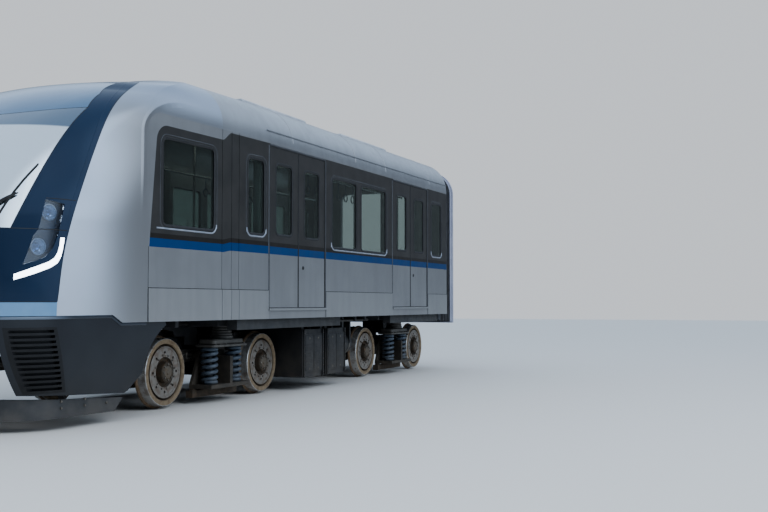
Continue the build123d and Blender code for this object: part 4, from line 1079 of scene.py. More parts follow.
# %% Sealant beads of the front
seams = Piece("front_seams")
for path in (SCREEN_TOP, SCREEN_FOOT):
    seams.grid(bead(*from_front(FRONT, path), SEAM_SECTION))
for side in (-1, 1):
    for path in (SCREEN_SIDE, CAP_SIDE):
        seams.grid(bead(*from_front(FRONT, spread(path, 40) * (side, 1)), SEAM_SECTION))
    for path in (SILVER_EDGE, UPPER_PANEL_LINE, LOWER_PANEL_LINE):
        seams.grid(bead(*from_side(FRONT, path, side), SEAM_SECTION))
    seams.grid(bead(*from_side(FLANK, WALL_JOINT, side), SEAM_SECTION))
places, normals = around_nose(FRONT, LIP_TOP, 58, 120)
on_lip = places[:, 0] > ahead(LIP_BACK)
seams.grid(bead(places[on_lip], normals[on_lip], SEAM_SECTION))
seams.make(RUBBER, "gloss_black")


# %% [markdown]
# ## Crease of the flank and rim of the surround
#
# An arch-shaped crease runs up beside the first window and over it, where the swelling flank of
# the mask meets the flat wall. It is a ridge a few millimetres high: a quarter ellipse and a
# straight foot, cast onto the flank from beside the car, with a height that fades out downwards
# and behind. The surround has a similar, narrower rim just ahead of the colour line.

# %% Soft ridges on the front
CREASE_SECTION = [(-0.060, -0.0015), (-0.035, 0.0012), (-0.012, 0.0038), (0.0, 0.0045), (0.010, 0.0040),
                  (0.030, 0.0012), (0.050, -0.0015)]
RIM_SECTION = [(-0.008, -0.001), (-0.004, 0.002), (0.004, 0.002), (0.008, -0.001)]
RIM_AHEAD = 0.060
turns = np.radians(np.linspace(80, 0, 45))
arch_path = ARCH_CENTRE + np.column_stack([np.cos(turns), np.sin(turns)]) * ARCH_HALF
foot_u = ARCH_CENTRE[0] + ARCH_HALF[0]
foot_path = np.linspace((foot_u, ARCH_CENTRE[1] - 0.03), (foot_u, 2.0), 30)
rim_z = np.linspace(1.90, 3.38, 60)
rim_path = np.column_stack([np.polyval(LINE_TERMS, rim_z) + RIM_AHEAD, rim_z])
creases, rims = Piece("flank_creases"), Piece("surround_rims")
for side in (-1, 1):
    places, normals = from_side(FLANK, np.vstack([arch_path, foot_path]), side)
    share = np.minimum((places[:, 2] - 1.98) / 0.5, (places[:, 0] - ahead(8.05)) / 0.15)
    creases.grid(bead(places, normals * np.clip(share, 0.05, 1.0)[:, None], CREASE_SECTION))
    rims.grid(bead(*from_side(FRONT, rim_path, side), RIM_SECTION))
creases.make(FRONT_PAINT, "silver_paint", smooth=60)
rims.make(FRONT_PAINT, "gloss_black", smooth=60)


# %% [markdown]
# ## Moulding on the bumper's upper edge
#
# The bumper ends in a moulding that runs round the nose just under the lip, and then steps down
# to the level of the skirt. Round the nose it is pale, a painted highlight for the light that its
# forward face catches, and behind the lip it is as dark as the bumper. It is cast in two kinds of
# stretches, a level one around the nose, and along each flank one with a slope in the middle.

# %% Moulding round the nose
MOULDING_SECTION = [(-0.014, -0.003), (-0.013, 0.004), (-0.008, 0.007), (0.008, 0.007), (0.013, 0.004),
                    (0.014, -0.003)]
MOULDING_HIGH = 1.018
MOULDING_LOW = 0.943
SLOPE_FROM = 9.130
SLOPE_TO = 8.990
BUMPER = surface_of("bumper_valance")


def moulding_painted_highlight(net):
    """Painted highlight: pale round the nose, and as dark as the bumper behind the lip's rear end."""
    # painted highlight: the pale tone round the nose stands in for light caught by the moulding
    share = net.ramp(net.place()[1], ahead(LIP_BACK - 0.25), ahead(LIP_BACK + 0.15))
    return net.blend(share, (0.020, 0.026, 0.036), (0.120, 0.150, 0.190))


moulding = Piece("bumper_moulding")
places, normals = around_nose(BUMPER, MOULDING_HIGH, 75, 160)
level = places[:, 0] > ahead(SLOPE_FROM + 0.005)
moulding.grid(bead(places[level], normals[level], MOULDING_SECTION))
bend = spread([(SLOPE_FROM + 0.06, MOULDING_HIGH), (SLOPE_FROM + 0.01, MOULDING_HIGH),
               (SLOPE_TO + 0.01, MOULDING_LOW), (8.62, MOULDING_LOW)], 60)
for side in (-1, 1):
    moulding.grid(bead(*from_side(BUMPER, bend, side), MOULDING_SECTION))
MOULDING = finish("moulding_grey", moulding_painted_highlight, 0.3, waves=(0.02, 0.05), Coat_Weight=0.3)
moulding.make(MOULDING, "valance_grey")


# %% [markdown]
# ## Headlamps
#
# Behind each slanted lamp glass sit three round lamps in a dark housing, and beside them two
# larger side lamps that look outwards. A real lamp is a bright dish with a lens in front, and
# both are surfaces of revolution: the dish a parabola, the lens a shallow cap. Rays tell how far
# forward each lamp may reach before it would touch the glass.

# %% Finishes and profiles of the lamps
REFLECTOR = finish("lamp_reflector", (0.50, 0.56, 0.64), 0.10, waves=(0.0, 0.02), Metallic=1.0)
LENS = glass("lamp_lens", (0.48, 0.60, 0.74), (0.8, 0.8, 0.8), IOR=1.5)
LAMP_CORE = finish("lamp_core", (0.9, 0.95, 1.0), 0.3, waves=(0.0, 0.02),
                   Emission_Color=(0.85, 0.93, 1.0), Emission_Strength=1.2)
LAMP_GLASS_TREE = surface_of("headlamp_glass")


def dish_profile(rim, depth, hole, radius, back):
    """Rows of a dish: a parabola rim + depth * ((r / radius) squared - 1), then its back."""
    r = np.linspace(hole, radius, 10)
    return np.vstack([np.column_stack([rim + depth * ((r / radius) ** 2 - 1), r]), back])


def lens_profile(base, edge, height, reach, steps):
    """Rows of a lens: a flat back, then a cap with height * (1 - (r / reach) squared)."""
    r = np.linspace(edge, 0.002, steps)
    cap = np.column_stack([base + 0.004 + height * (1 - (r / reach) ** 2), r])
    return np.vstack([[(base, 0.002), (base, edge)], cap])


print("lamp finishes ready")

# %% Round lamps
# place ahead of the glass in front of a lamp, for a ray that passes beside it, and height
LAMPS = [(10.010, 1.930), (10.060, 1.760), (10.150, 1.610)]
LAMP_Y = 0.990
LAMP_R = 0.037
LAMP_BEHIND = 0.075
DISH = dish_profile(0.0, 0.045, 0.006, LAMP_R,
                    [(0.004, LAMP_R + 0.001), (0.004, LAMP_R + 0.005), (-0.10, LAMP_R + 0.002)])
LENS_CAP = lens_profile(-0.002, 0.8 * LAMP_R, 0.012, LAMP_R, 8)
CORE = [(-0.040, 0.007), (-0.022, 0.007), (-0.018, 0.004), (-0.017, 0.001)]
dishes, lenses, cores = Piece("lamp_reflectors"), Piece("lamp_lenses"), Piece("lamp_cores")
for side in (-1, 1):
    for u, z in LAMPS:
        hit, _ = from_front(LAMP_GLASS_TREE, [(side * LAMP_Y, z)])
        glass_x = hit[0][0] if len(hit) else ahead(u)
        rim = (glass_x - LAMP_BEHIND, side * LAMP_Y, z)
        for piece, profile, steps in ((dishes, DISH, 28), (lenses, LENS_CAP, 28), (cores, CORE, 12)):
            piece.grid(turned(profile, rim, FORWARD, steps))
print("round lamps", 2 * len(LAMPS), "the last at", np.round(rim, 3))

# %% Side lamps, which look out and forward through the slanted glass
# place ahead, height
SIDE_LAMPS = [(9.945, 1.950), (10.060, 1.640)]
SIDE_LAMP_R = 0.062
GLASS_BACK = 0.024
SIDE_DISH = dish_profile(-0.004, 0.026, 0.004, SIDE_LAMP_R,
                         [(-0.003, SIDE_LAMP_R + 0.002), (-0.032, SIDE_LAMP_R + 0.002), (-0.032, 0.003)])
SIDE_LENS = lens_profile(-0.016, 0.028, 0.010, 0.028, 7)
BEZEL = [(-0.004, SIDE_LAMP_R + 0.003), (0.0, SIDE_LAMP_R + 0.003), (0.0, SIDE_LAMP_R + 0.012),
         (-0.012, SIDE_LAMP_R + 0.012), (-0.012, SIDE_LAMP_R + 0.003)]
bezels = Piece("side_lamp_bezels")
for side in (-1, 1):
    for lamp_place in SIDE_LAMPS:
        hit, way = from_side(LAMP_GLASS_TREE, [lamp_place], side)
        origin = hit[0] - GLASS_BACK * way[0]
        dishes.grid(turned(SIDE_DISH, origin, way[0], 32, across=UP))
        lenses.grid(turned(SIDE_LENS, origin, way[0], 28, across=UP))
        bezels.grid(turned(BEZEL, origin, way[0], 32, across=UP), ring=True)
bezels.make(TRIM_METAL, "lamp_housing")
dishes.make(REFLECTOR, "lamp_housing")
lenses.make(LENS, "lamp_glass")
cores.make(LAMP_CORE, "lamp_strip")


# %% [markdown]
# ## Coil springs
#
# Four big steel coils per bogie carry the body. The solids hold a ribbed column in each one's
# place; here the column gives way to a real helix. Blender could screw a circle round an axis,
# but a helix is a simple formula: the angle grows evenly, and the height grows with it, except
# for the flattened first and last turn. Each coil stands on a plank of the bogie frame, with a
# rubber bump stop inside, and carries a pale plate with a layered rubber cone under the body.

# %% Values of the springs
BOGIES = {"front": 6.650, "rear": 1.300}
SPRING_U = 0.260
SPRING_Y = 0.860
COIL_R = 0.080
WIRE_R = 0.0235
COIL_LOW = 0.215
COIL_HIGH = 0.640
COIL_TURNS = 6.5
FLAT_TURNS = 0.55
STOP_COLUMN = [(0.0, 0.052), (0.085, 0.052), (0.095, 0.044), (0.115, 0.044), (0.125, 0.050), (0.20, 0.050),
               (0.21, 0.036), (0.425, 0.036)]
PLATE_JOIN = COIL_HIGH + 0.028
PLATE_TOP = 0.730
PAD_Z = 0.880
# half length, half width, bottom, top, bevel, corner
PLATES = [(0.38, 0.14, COIL_HIGH, PLATE_JOIN, 0.005, 0.05), (0.33, 0.11, PLATE_JOIN, PLATE_TOP, 0.012, 0.04)]
PLATE_BOLT = [(0.0, 0.011), (0.012, 0.011), (0.014, 0.008), (0.014, 0.001)]
PLATE_BOLTS_U = (0.09, 0.22, 0.31)
PLATE_BOLTS_Y = 0.112
# the cone narrows upwards, with a wave of 4 mm at every rubber layer
cone_z = np.linspace(0, PAD_Z - PLATE_TOP, 31)
cone_r = np.interp(cone_z, [0, cone_z[-1]], [0.140, 0.100]) + 0.004 * np.cos(2 * np.pi * cone_z / 0.030)
CONE = np.column_stack([cone_z, cone_r])


def helix(u, y):
    """Coil round an upright axis: angle 2 pi * turns * t, and a height that eases in and out of
    the flattened end turns."""
    t = np.linspace(0, 1, 170)
    angle = 2 * np.pi * COIL_TURNS * t
    share = np.clip((t * COIL_TURNS - FLAT_TURNS) / (COIL_TURNS - 2 * FLAT_TURNS), 0, 1)
    height = COIL_LOW + WIRE_R + (COIL_HIGH - COIL_LOW - 2 * WIRE_R) * share
    return np.column_stack([ahead(u) + COIL_R * np.cos(angle), y + COIL_R * np.sin(angle), height])


pitch = (COIL_HIGH - COIL_LOW - 2 * WIRE_R) / (COIL_TURNS - 2 * FLAT_TURNS)
print("the coils rise", round(pitch, 4), "m in each turn")

# %% Coils, stops, plates and cones
for name, centre in BOGIES.items():
    coils, stops, plates, cones = (Piece("spring_" + part + "_" + name)
                                   for part in ("coils", "bump_stops", "plates", "cones"))
    x = ahead(centre)
    for y in (-SPRING_Y, SPRING_Y):
        for end in (-1, 1):
            u = centre + end * SPRING_U
            coils.grid(tube(helix(u, y), WIRE_R, 10))
            stops.grid(turned(STOP_COLUMN, (ahead(u), y, COIL_LOW), UP, 20))
        for long, wide, low, high, bevel, corner in PLATES:
            plates.grid(block((x - long, y - wide, low), (x + long, y + wide, high), bevel, corner))
        for along in (sign * u for sign in (-1, 1) for u in PLATE_BOLTS_U):
            for across in (-PLATE_BOLTS_Y, PLATE_BOLTS_Y):
                plates.grid(turned(PLATE_BOLT, (x + along, y + across, COIL_HIGH + 0.026), UP, 6))
        cones.grid(turned(CONE, (x, y, PLATE_TOP), UP, 32))
    body = "bogie_" + name
    coils.make(UNDER["spring_paint"], "spring_blue", body, replaces=("secondary_springs_" + name,))
    stops.make(RUBBER, "motor_dark", body)
    plates.make(UNDER["spring_plate"], "spring_blue", body)
    cones.make(UNDER["spring_plate"], "spring_blue", body)


# %% [markdown]
# ## Axle ends and bolts
#
# What shows of a wheelset from outside is the end of its axle: a cover with a ring of bolts, and
# the rim of the brake disc with its fixing bolts. All are small bodies of revolution set on
# circles, so one function makes a ring of bolts anywhere, or a single bolt.

# %% Axle ends and disc bolts
WHEELBASE = 2.100
AXLE_END = 0.830
DISC_FACE = 0.798
BOLT = np.array([(-0.004, 0.0125), (0.010, 0.0125), (0.012, 0.010), (0.012, 0.0005)])
END_CAP = [(0.0, 0.104), (0.006, 0.104), (0.010, 0.098), (0.010, 0.070), (0.016, 0.064), (0.016, 0.030),
           (0.022, 0.024), (0.022, 0.001)]
DISC_RIM = [(-0.004, 0.285), (0.004, 0.285), (0.006, 0.281), (0.006, 0.262), (0.003, 0.259), (-0.004, 0.259)]


def bolts_on(piece, centre, axis, radius=0.0, count=1, size=1.0, start=0.0, across=None):
    """Bolts on a circle: bolt k stands at centre + radius * (across cos a + third sin a)."""
    if across is None:
        across = (0, 1, 0) if axis[0] else (1, 0, 0)
    axis, across = np.asarray(axis, float), np.asarray(across, float)
    third = np.cross(axis, across)
    for k in range(count):
        a = start + 2 * math.pi * k / count
        place = np.asarray(centre) + radius * (math.cos(a) * across + math.sin(a) * third)
        piece.grid(turned(BOLT * size, place, axis, 6, across))


for name, centre in BOGIES.items():
    for tag, end in (("a", 1), ("b", -1)):
        caps, bolts = Piece("axle_caps_" + name + "_" + tag), Piece("wheel_bolts_" + name + "_" + tag)
        x = ahead(centre + end * WHEELBASE / 2)
        for side in (-1, 1):
            axis = (0, side, 0)
            face = (x, side * DISC_FACE, AXLE_Z)
            caps.grid(turned(END_CAP, (x, side * (AXLE_END - 0.002), AXLE_Z), axis, 32))
            caps.grid(turned(DISC_RIM, face, axis, 48), ring=True)
            bolts_on(bolts, (x, side * (AXLE_END + 0.008), AXLE_Z), axis, 0.084, 8)
            bolts_on(bolts, face, axis, 0.183, 12, 0.9, 0.2)
        wheel = "wheelset_" + name + "_" + tag
        caps.make(NODES[wheel].data.materials[0], "wheel_steel", wheel)
        bolts.make(UNDER["bolt_steel"], "wheel_steel", wheel)


# %% [markdown]
# ## Pipes, dampers and boxes on the bogies
#
# A bogie is wrapped in small things: brake pipes clipped along the beams, rubber hoses that hang
# in loops to the motors, upright dampers beside the springs and a terminal box on each beam. In
# the photograph they make the dark tangle between the wheels. Each pipe is a path of a few
# points, eased into a smooth curve, with a tube carried along it.

# %% Function for smooth pipes
def smooth_path(points, steps=8):
    """Curve through points: between each two it is the cubic whose slopes are half the chord of
    their neighbours (Catmull-Rom), worked out for all stretches at once."""
    p = np.asarray(points, float)
    p = np.vstack([2 * p[0] - p[1], p, 2 * p[-1] - p[-2]])
    t = np.linspace(0, 1, steps, endpoint=False)[:, None, None]
    a, b, c, d = p[:-3], p[1:-2], p[2:-1], p[3:]
    curve = 0.5 * (2 * b + (c - a) * t + (2 * a - 5 * b + 4 * c - d) * t ** 2
                   + (3 * b - a - 3 * c + d) * t ** 3)
    return np.vstack([curve.transpose(1, 0, 2).reshape(-1, 3), p[-2:-1]])


print("three places become", len(smooth_path([(0, 0, 0), (1, 0, 0), (1, 1, 0)])), "points")

# %% Places of the things on a bogie
FRAME_OUT = 0.585
FRAME_TOP = 0.700
# distance ahead of the bogie's middle, height
PIPE_ROUTE = [(-1.15, 0.655), (-0.80, 0.655), (-0.52, 0.560), (0.0, 0.555), (0.52, 0.560), (0.80, 0.655),
              (1.15, 0.655)]
CLIPS = [(-1.02, 0.640), (-0.70, 0.615), (-0.35, 0.555), (0.0, 0.555), (0.35, 0.555), (0.70, 0.615),
         (1.02, 0.640)]
# drop below the route, radius
PIPES = [(0.0, 0.014), (0.038, 0.010)]
# distance from the bogie's middle, distance from the car's middle, height
HOSE_ROUTE = [(0.20, 0.44, 0.600), (0.25, 0.40, 0.720), (0.36, 0.33, 0.735), (0.47, 0.26, 0.620)]
HOSE_GAP = 0.05
DAMPER = [(0.0, 0.022), (0.01, 0.030), (0.02, 0.036), (0.20, 0.036), (0.205, 0.042), (0.33, 0.042),
          (0.34, 0.024), (0.36, 0.024)]
DAMPER_U = 0.62
BRACKETS = (0.285, 0.645)
BOX_U = 0.86
BOX_TOP = 0.775


def dress_beam(centre, side, pipes, hoses, boxes, fittings, dampers):
    """Adds what hangs on one beam of a bogie to the bogie's pieces."""
    for drop, radius in PIPES:
        route = [(ahead(centre + u), side * (FRAME_OUT + 0.016), z - drop) for u, z in PIPE_ROUTE]
        pipes.grid(tube(smooth_path(route), radius, 8))
    for u, z in CLIPS:
        x = ahead(centre + u)
        fittings.grid(block((x - 0.016, side * (FRAME_OUT - 0.004), z - 0.055),
                            (x + 0.016, side * (FRAME_OUT + 0.034), z + 0.024), 0.004, 0.006))
    for end in (-1, 1):
        for shift in (0.0, HOSE_GAP):
            route = [(ahead(centre + end * u) + shift, side * y, z) for u, y, z in HOSE_ROUTE]
            hoses.grid(tube(smooth_path(route), 0.017, 8))
        x = ahead(centre + end * DAMPER_U)
        dampers.grid(turned(DAMPER, (x, side * 0.640, 0.300), UP, 16))
        for z in BRACKETS:
            dampers.grid(block((x - 0.035, side * 0.580, z),
                               (x + 0.035, side * 0.668, z + 0.030), 0.005, 0.010))
        x = ahead(centre + end * BOX_U)
        boxes.grid(block((x - 0.10, side * 0.470, FRAME_TOP),
                         (x + 0.10, side * 0.570, BOX_TOP), 0.006, 0.012))
        bolts_on(fittings, (x, side * 0.520, BOX_TOP - 0.002), UP, 0.062, 4, 0.7, 0.5)
        axle = (ahead(centre + end * WHEELBASE / 2), side * 0.582, AXLE_Z)
        bolts_on(fittings, axle, (0, side, 0), 0.118, 6)


print("each beam carries", len(PIPES), "pipes and", len(CLIPS), "clips")

# %% Pipes, hoses, boxes, fittings and dampers
for name, centre in BOGIES.items():
    pipes, hoses, boxes, fittings, dampers = parts = [
        Piece("bogie_" + part + "_" + name) for part in ("pipes", "hoses", "boxes", "fittings", "dampers")]
    for side in (-1, 1):
        dress_beam(centre, side, *parts)
    body = "bogie_" + name
    pipes.make(UNDER["pipe_paint"], "bogie_dark", body)
    hoses.make(RUBBER, "motor_dark", body)
    boxes.make(UNDER["motor_paint"], "motor_dark", body)
    fittings.make(UNDER["bolt_steel"], "bogie_dark", body)
    dampers.make(UNDER["motor_paint"], "bogie_dark", body)


# %% [markdown]
# ## Wipers
#
# Two black wipers rest upright along the sides of the screen. Each is an arm of two thin rods
# from a spindle under the screen and a blade that follows the curved glass, so the paths are cast
# onto the screen and held a little in front of it.

# %% Arms, blades and spindles
SCREEN = surface_of("windscreen", "front_surround")
# distance from the middle of the car, height
SPINDLE = (0.620, 1.700)
ARM_END = (0.985, 2.090)
BLADE_LOW = (0.900, 1.820)
BLADE_HIGH = (1.030, 2.370)
ROD_GAP = 0.015
KNOB = [(-0.01, 0.030), (0.018, 0.028), (0.030, 0.020), (0.032, 0.002)]


def lifted(start, end, lift, side):
    """Straight path in front view, cast onto the screen and lifted off it."""
    places, normals = from_front(SCREEN, np.linspace(start, end, len(lift)) * (side, 1))
    t = np.linspace(0, len(lift) - 1, len(places))
    return places + np.interp(t, np.arange(len(lift)), lift)[:, None] * normals


wipers = Piece("wipers")
t = np.linspace(0, 1, 40)
for side in (-1, 1):
    rise = np.interp(t, [0, 0.25, 1], [0.020, 0.050, 0.034])
    for shift in (-ROD_GAP, ROD_GAP):
        arm = lifted((SPINDLE[0] + shift, SPINDLE[1]), (ARM_END[0] + shift / 3, ARM_END[1]), rise, side)
        wipers.grid(tube(arm, 0.007, 8))
    wipers.grid(tube(lifted(BLADE_LOW, BLADE_HIGH, np.full(40, 0.011), side), 0.008, 8))
    carrier = lifted(BLADE_LOW, BLADE_HIGH, 0.016 + 0.014 * np.sin(np.pi * t), side)
    wipers.grid(tube(carrier, 0.006, 8))
    hub, outward = from_front(SCREEN, [(side * SPINDLE[0], SPINDLE[1])])
    across = np.cross(outward[0], UP)
    wipers.grid(turned(KNOB, hub[0], outward[0], 20, across / np.linalg.norm(across)))
wipers.make(RUBBER, "gloss_black")


# %% [markdown]
# ## Roof joints and climate units
#
# The roof skin comes in lengths, joined by flat sealed seams that run over the arch. On top sit
# two climate units: each has two round fans under wire guards, rows of side louvres and lifting
# eyes. A guard is a set of rings and a few spokes; a louvre is a slim slat.

# %% Sealed seams over the roof
ROOF_SEAMS = (0.85, 2.75, 3.85, 5.75)
ROOF_SEAM_SECTION = [(-0.012, -0.002), (-0.010, 0.0025), (0.010, 0.0025), (0.012, -0.002)]


def roof_height(y):
    """Height of the roof's outer skin at a distance from the middle: a crown arc, then a
    shoulder arc."""
    y = np.abs(y)
    crown = CROWN_Z + np.sqrt(np.maximum(CROWN_R ** 2 - y ** 2, 0))
    side = np.clip(SHOULDER_R ** 2 - (y - SHOULDER_Y) ** 2, 0, None)
    return np.where(y < CROWN_HALF, crown, SHOULDER_Z + np.sqrt(side))


roof_seams = Piece("roof_seams")
angles = np.radians(np.linspace(4, 75.9, 22))
shoulder = (SHOULDER_Y, SHOULDER_Z) + SHOULDER_R * np.column_stack([np.cos(angles), np.sin(angles)])
crown_y = np.linspace(0.93, -0.93, 40)
arch = np.vstack([shoulder, np.column_stack([crown_y, roof_height(crown_y)]), shoulder[::-1] * (-1, 1)])
slope = np.gradient(arch, axis=0)
away = np.column_stack([slope[:, 1], -slope[:, 0]])
away *= np.sign(np.sum(away * (arch - (0, 2.0)), axis=1))[:, None]
away /= np.linalg.norm(away, axis=1, keepdims=True)
for u in ROOF_SEAMS:
    roof_seams.grid(cross_band(arch, away, ahead(u), ROOF_SEAM_SECTION))
roof_seams.make(END_PAINT, "silver_paint")

# %% Values of the climate units
UNITS = [(0.900, 2.700), (3.900, 5.700)]
UNIT_HALF = 0.550
UNIT_TOP = 3.790
FAN_R = 0.260
FAN_SHARES = (0.3, 0.7)
GUARD_RINGS = np.linspace(0.085, FAN_R + 0.004, 8)
GUARD_WIRE = 0.0028
SPOKES = 6
BLADES = 7
LOUVRES = 3.665 + 0.019 * np.arange(5)
EYE_R = 0.028


def fan_blade(x, a):
    """Blade of a fan at an angle a: rows along its radius r, columns across its width w, each at
    r (cos a, sin a) + w (-sin a, cos a), with one edge higher than the other."""
    r = np.linspace(0.07, 0.245, 8)[:, None]
    w = np.array([-0.055, 0.055, 0.055, -0.055])
    lift = np.array([-0.010, 0.010, 0.012, -0.008])
    return np.stack([x + r * math.cos(a) - w * math.sin(a), r * math.sin(a) + w * math.cos(a),
                     UNIT_TOP - 0.016 + lift + 0 * r], axis=-1)


print("guard rings", GUARD_RINGS.round(3))

# %% Fan guards, fans, louvres and lifting eyes
guards, slats, fans, eyes = (Piece(name) for name in
                             ("fan_guards", "unit_louvres", "fan_blades", "unit_fixings"))
wire_turn = np.linspace(0, 2 * np.pi, 5, endpoint=False)
eye_turn = np.linspace(0, np.pi, 14)
for u0, u1 in UNITS:
    for share in FAN_SHARES:
        x = ahead(u0 + share * (u1 - u0))
        for radius in GUARD_RINGS:
            wire = GUARD_WIRE * np.column_stack([np.sin(wire_turn), np.cos(wire_turn)]) + (0, radius)
            guards.grid(turned(wire, (x, 0, UNIT_TOP + 0.0005), UP, 40), ring=True)
        for k in range(SPOKES):
            a = math.pi * k / SPOKES + 0.2
            reach = np.array([FAN_R * math.cos(a), FAN_R * math.sin(a), 0])
            spoke = np.linspace(-reach, reach, 6) + (x, 0, UNIT_TOP + 0.003)
            guards.grid(tube(spoke, 0.003, 5))
        for k in range(BLADES):
            fans.grid(fan_blade(x, 2 * math.pi * k / BLADES))
    for side in (-1, 1):
        for z in LOUVRES:
            for a, b in ((u0 + 0.12, u0 + 0.80), (u0 + 0.98, u1 - 0.12)):
                slats.grid(block((ahead(a), side * (UNIT_HALF - 0.004), z),
                                 (ahead(b), side * (UNIT_HALF + 0.007), z + 0.009), 0.002, 0.002, 2))
        for u in (u0 + 0.05, u1 - 0.05):
            eye = np.column_stack([np.full(14, ahead(u)), side * 0.46 + EYE_R * np.cos(eye_turn),
                                   UNIT_TOP - 0.032 + EYE_R * np.sin(eye_turn)])
            eyes.grid(tube(eye, 0.005, 8, up=FORWARD))
        for u in np.linspace(u0 + 0.08, u1 - 0.08, 9):
            bolts_on(eyes, (ahead(u), side * 0.505, UNIT_TOP - 0.003), UP, size=0.6)
guards.make(GRILLE_BLACK, "roof_grey")
fans.make(UNDER["motor_paint"], "roof_grey")
slats.make(END_PAINT, "roof_grey")
eyes.make(TRIM_METAL, "roof_grey")


# %% [markdown]
# ## Gangway
#
# The gangway's folds are rubberised cloth, clamped to a ring frame at the free end. What tells a
# viewer that it is cloth is the stitched binding along every crest; the ring shows a rubber seal
# and bolts. The crest follows the body's own outline at a smaller size, so the outline is worked
# out once, as points with outward directions, and each band is a section carried along it.

# %% Outline of the gangway
GANGWAY_LOW = 0.820
GANGWAY_REACH = 0.600
FRAME_REACH = 0.110
FOLDS = 6
FOLD_OUTER = 0.105
FOLD_INNER = 0.165
# angle at which shoulder and crown meet
MEETING = 75.96


def body_loop(inset, bottom):
    """Closed outline of the body's cross-section drawn in by an inset: up the right wall, over
    shoulder, crown and shoulder, down the left wall, with outward directions."""
    def bow(centre_y, centre_z, radius, angles):
        """Stretch of an arc with its outward directions."""
        way = np.column_stack([np.cos(angles), np.sin(angles)])
        return np.hstack([(centre_y, centre_z) + (radius - inset) * way, way])

    wall = HALF_WIDTH - inset
    z = np.linspace(bottom, SHOULDER_Z, 16)
    right = np.column_stack([np.full(16, wall), z, np.ones(16), np.zeros(16)])
    shoulder = bow(SHOULDER_Y, SHOULDER_Z, SHOULDER_R, np.radians(np.linspace(0, MEETING, 16))[1:])
    crown = bow(0.0, CROWN_Z, CROWN_R, np.radians(np.linspace(MEETING, 180 - MEETING, 26))[1:-1])
    mirrored = np.vstack([right, shoulder])[::-1] * (-1, 1, -1, 1)
    y = np.linspace(-wall, wall, 20)[1:-1]
    under = np.column_stack([y, np.full(18, bottom), np.zeros(18), -np.ones(18)])
    loop = np.vstack([right, shoulder, crown, mirrored, under])
    return loop[:, :2], loop[:, 2:]


print("outline of", len(body_loop(FOLD_OUTER, GANGWAY_LOW)[0]), "points")

# %% Bindings, clamps, seal and bolts
BINDING_SECTION = [(-0.011, -0.010), (-0.008, 0.001), (-0.003, 0.004), (0.003, 0.004), (0.008, 0.001),
                   (0.011, -0.010)]
CLAMP_SECTION = [(-0.014, -0.020), (-0.014, 0.003), (0.014, 0.003), (0.014, -0.020)]
RING_SEAL_SECTION = [(-0.006, -0.012), (-0.009, 0.0), (-0.006, 0.012), (0.002, 0.012), (0.002, -0.012)]
CLAMP_INSET = FOLD_INNER - 0.018
BOLT_PITCH = 0.33
ring_face = ahead(-GANGWAY_REACH)
fold_start = ahead(FRAME_REACH - GANGWAY_REACH)
fold_pitch = (GANGWAY_REACH - FRAME_REACH) / FOLDS
bindings, clamps, ring_seal, ring_bolts = (Piece("gangway_" + part)
                                           for part in ("bindings", "clamps", "seal", "bolts"))
crest = body_loop(FOLD_OUTER, GANGWAY_LOW)
for k in range(FOLDS):
    bindings.grid(cross_band(*crest, fold_start + (k + 0.5) * fold_pitch, BINDING_SECTION), ring=True)
for x in (fold_start + 0.016, ahead(-0.016)):
    loop = body_loop(CLAMP_INSET, GANGWAY_LOW + CLAMP_INSET - FOLD_OUTER)
    clamps.grid(cross_band(*loop, x, CLAMP_SECTION), ring=True)
for inset in (0.125, 0.205):
    loop = body_loop(inset, GANGWAY_LOW + inset - FOLD_OUTER)
    ring_seal.grid(cross_band(*loop, ring_face, RING_SEAL_SECTION), ring=True)
loop, _ = body_loop(FOLD_INNER, GANGWAY_LOW + FOLD_INNER - FOLD_OUTER)
steps = np.cumsum(np.linalg.norm(np.diff(loop, axis=0), axis=1))
for k in np.searchsorted(steps, np.arange(0.1, steps[-1], BOLT_PITCH)):
    bolts_on(ring_bolts, (ring_face, *loop[k]), REARWARD, size=0.9)
bindings.make(RUBBER, "bellows_rubber")
clamps.make(TRIM_METAL, "gangway_lavender")
ring_seal.make(RUBBER, "bellows_rubber")
ring_bolts.make(UNDER["bolt_steel"], "gangway_lavender")


# %% [markdown]
# ## Under the floor
#
# Between the bogies hang equipment cases, air tanks and the conduits that feed them. The cases are
# plain boxes in the solids; their doors, latches, cooling ribs and bolts are what a fitter would
# see, so they are laid on the outer faces here. Conduits run along the sole bars and dip into
# each case.

# %% Case doors, ribs and latches
CASES = [(3.720, 4.360), (4.420, 5.050)]
CASE_LOW = 0.230
CASE_HIGH = 0.740
CASE_FACE = 1.108
RIBS = CASE_LOW + 0.07 + 0.036 * np.arange(9)
LATCH = [(0.0, 0.015), (0.003, 0.015), (0.0035, 0.011), (0.0035, 0.001)]
doors, case_fittings = Piece("case_doors"), Piece("case_fittings")
for side in (-1, 1):
    face = side * CASE_FACE
    for u0, u1 in CASES:
        middle = (u0 + u1) / 2
        for a, b in ((u0 + 0.075, middle - 0.008), (middle + 0.008, u1 - 0.075)):
            doors.grid(block((ahead(a), face - side * 0.002, CASE_LOW + 0.02),
                             (ahead(b), face + side * 0.006, CASE_HIGH - 0.02), 0.003, 0.003, 2))
            for z in RIBS:
                doors.grid(block((ahead(a + 0.03), face + side * 0.004, z),
                                 (ahead(b - 0.03), face + side * 0.0095, z + 0.012), 0.002, 0.002, 2))
            for z in (CASE_LOW + 0.05, CASE_HIGH - 0.06):
                latch_place = (ahead((a + b) / 2), face + side * 0.006, z)
                case_fittings.grid(turned(LATCH, latch_place, (0, side, 0), 14))
        for u in (u0 + 0.04, u1 - 0.04):
            for z in np.linspace(0.22, 0.75, 7):
                bolts_on(case_fittings, (ahead(u), side * 1.1175, z), (0, side, 0), size=0.55)
doors.make(UNDER["case_paint"], "underframe_grey")
case_fittings.make(UNDER["bolt_steel"], "underframe_grey")

# %% Tank bands and conduits
TANK_Z = 0.56
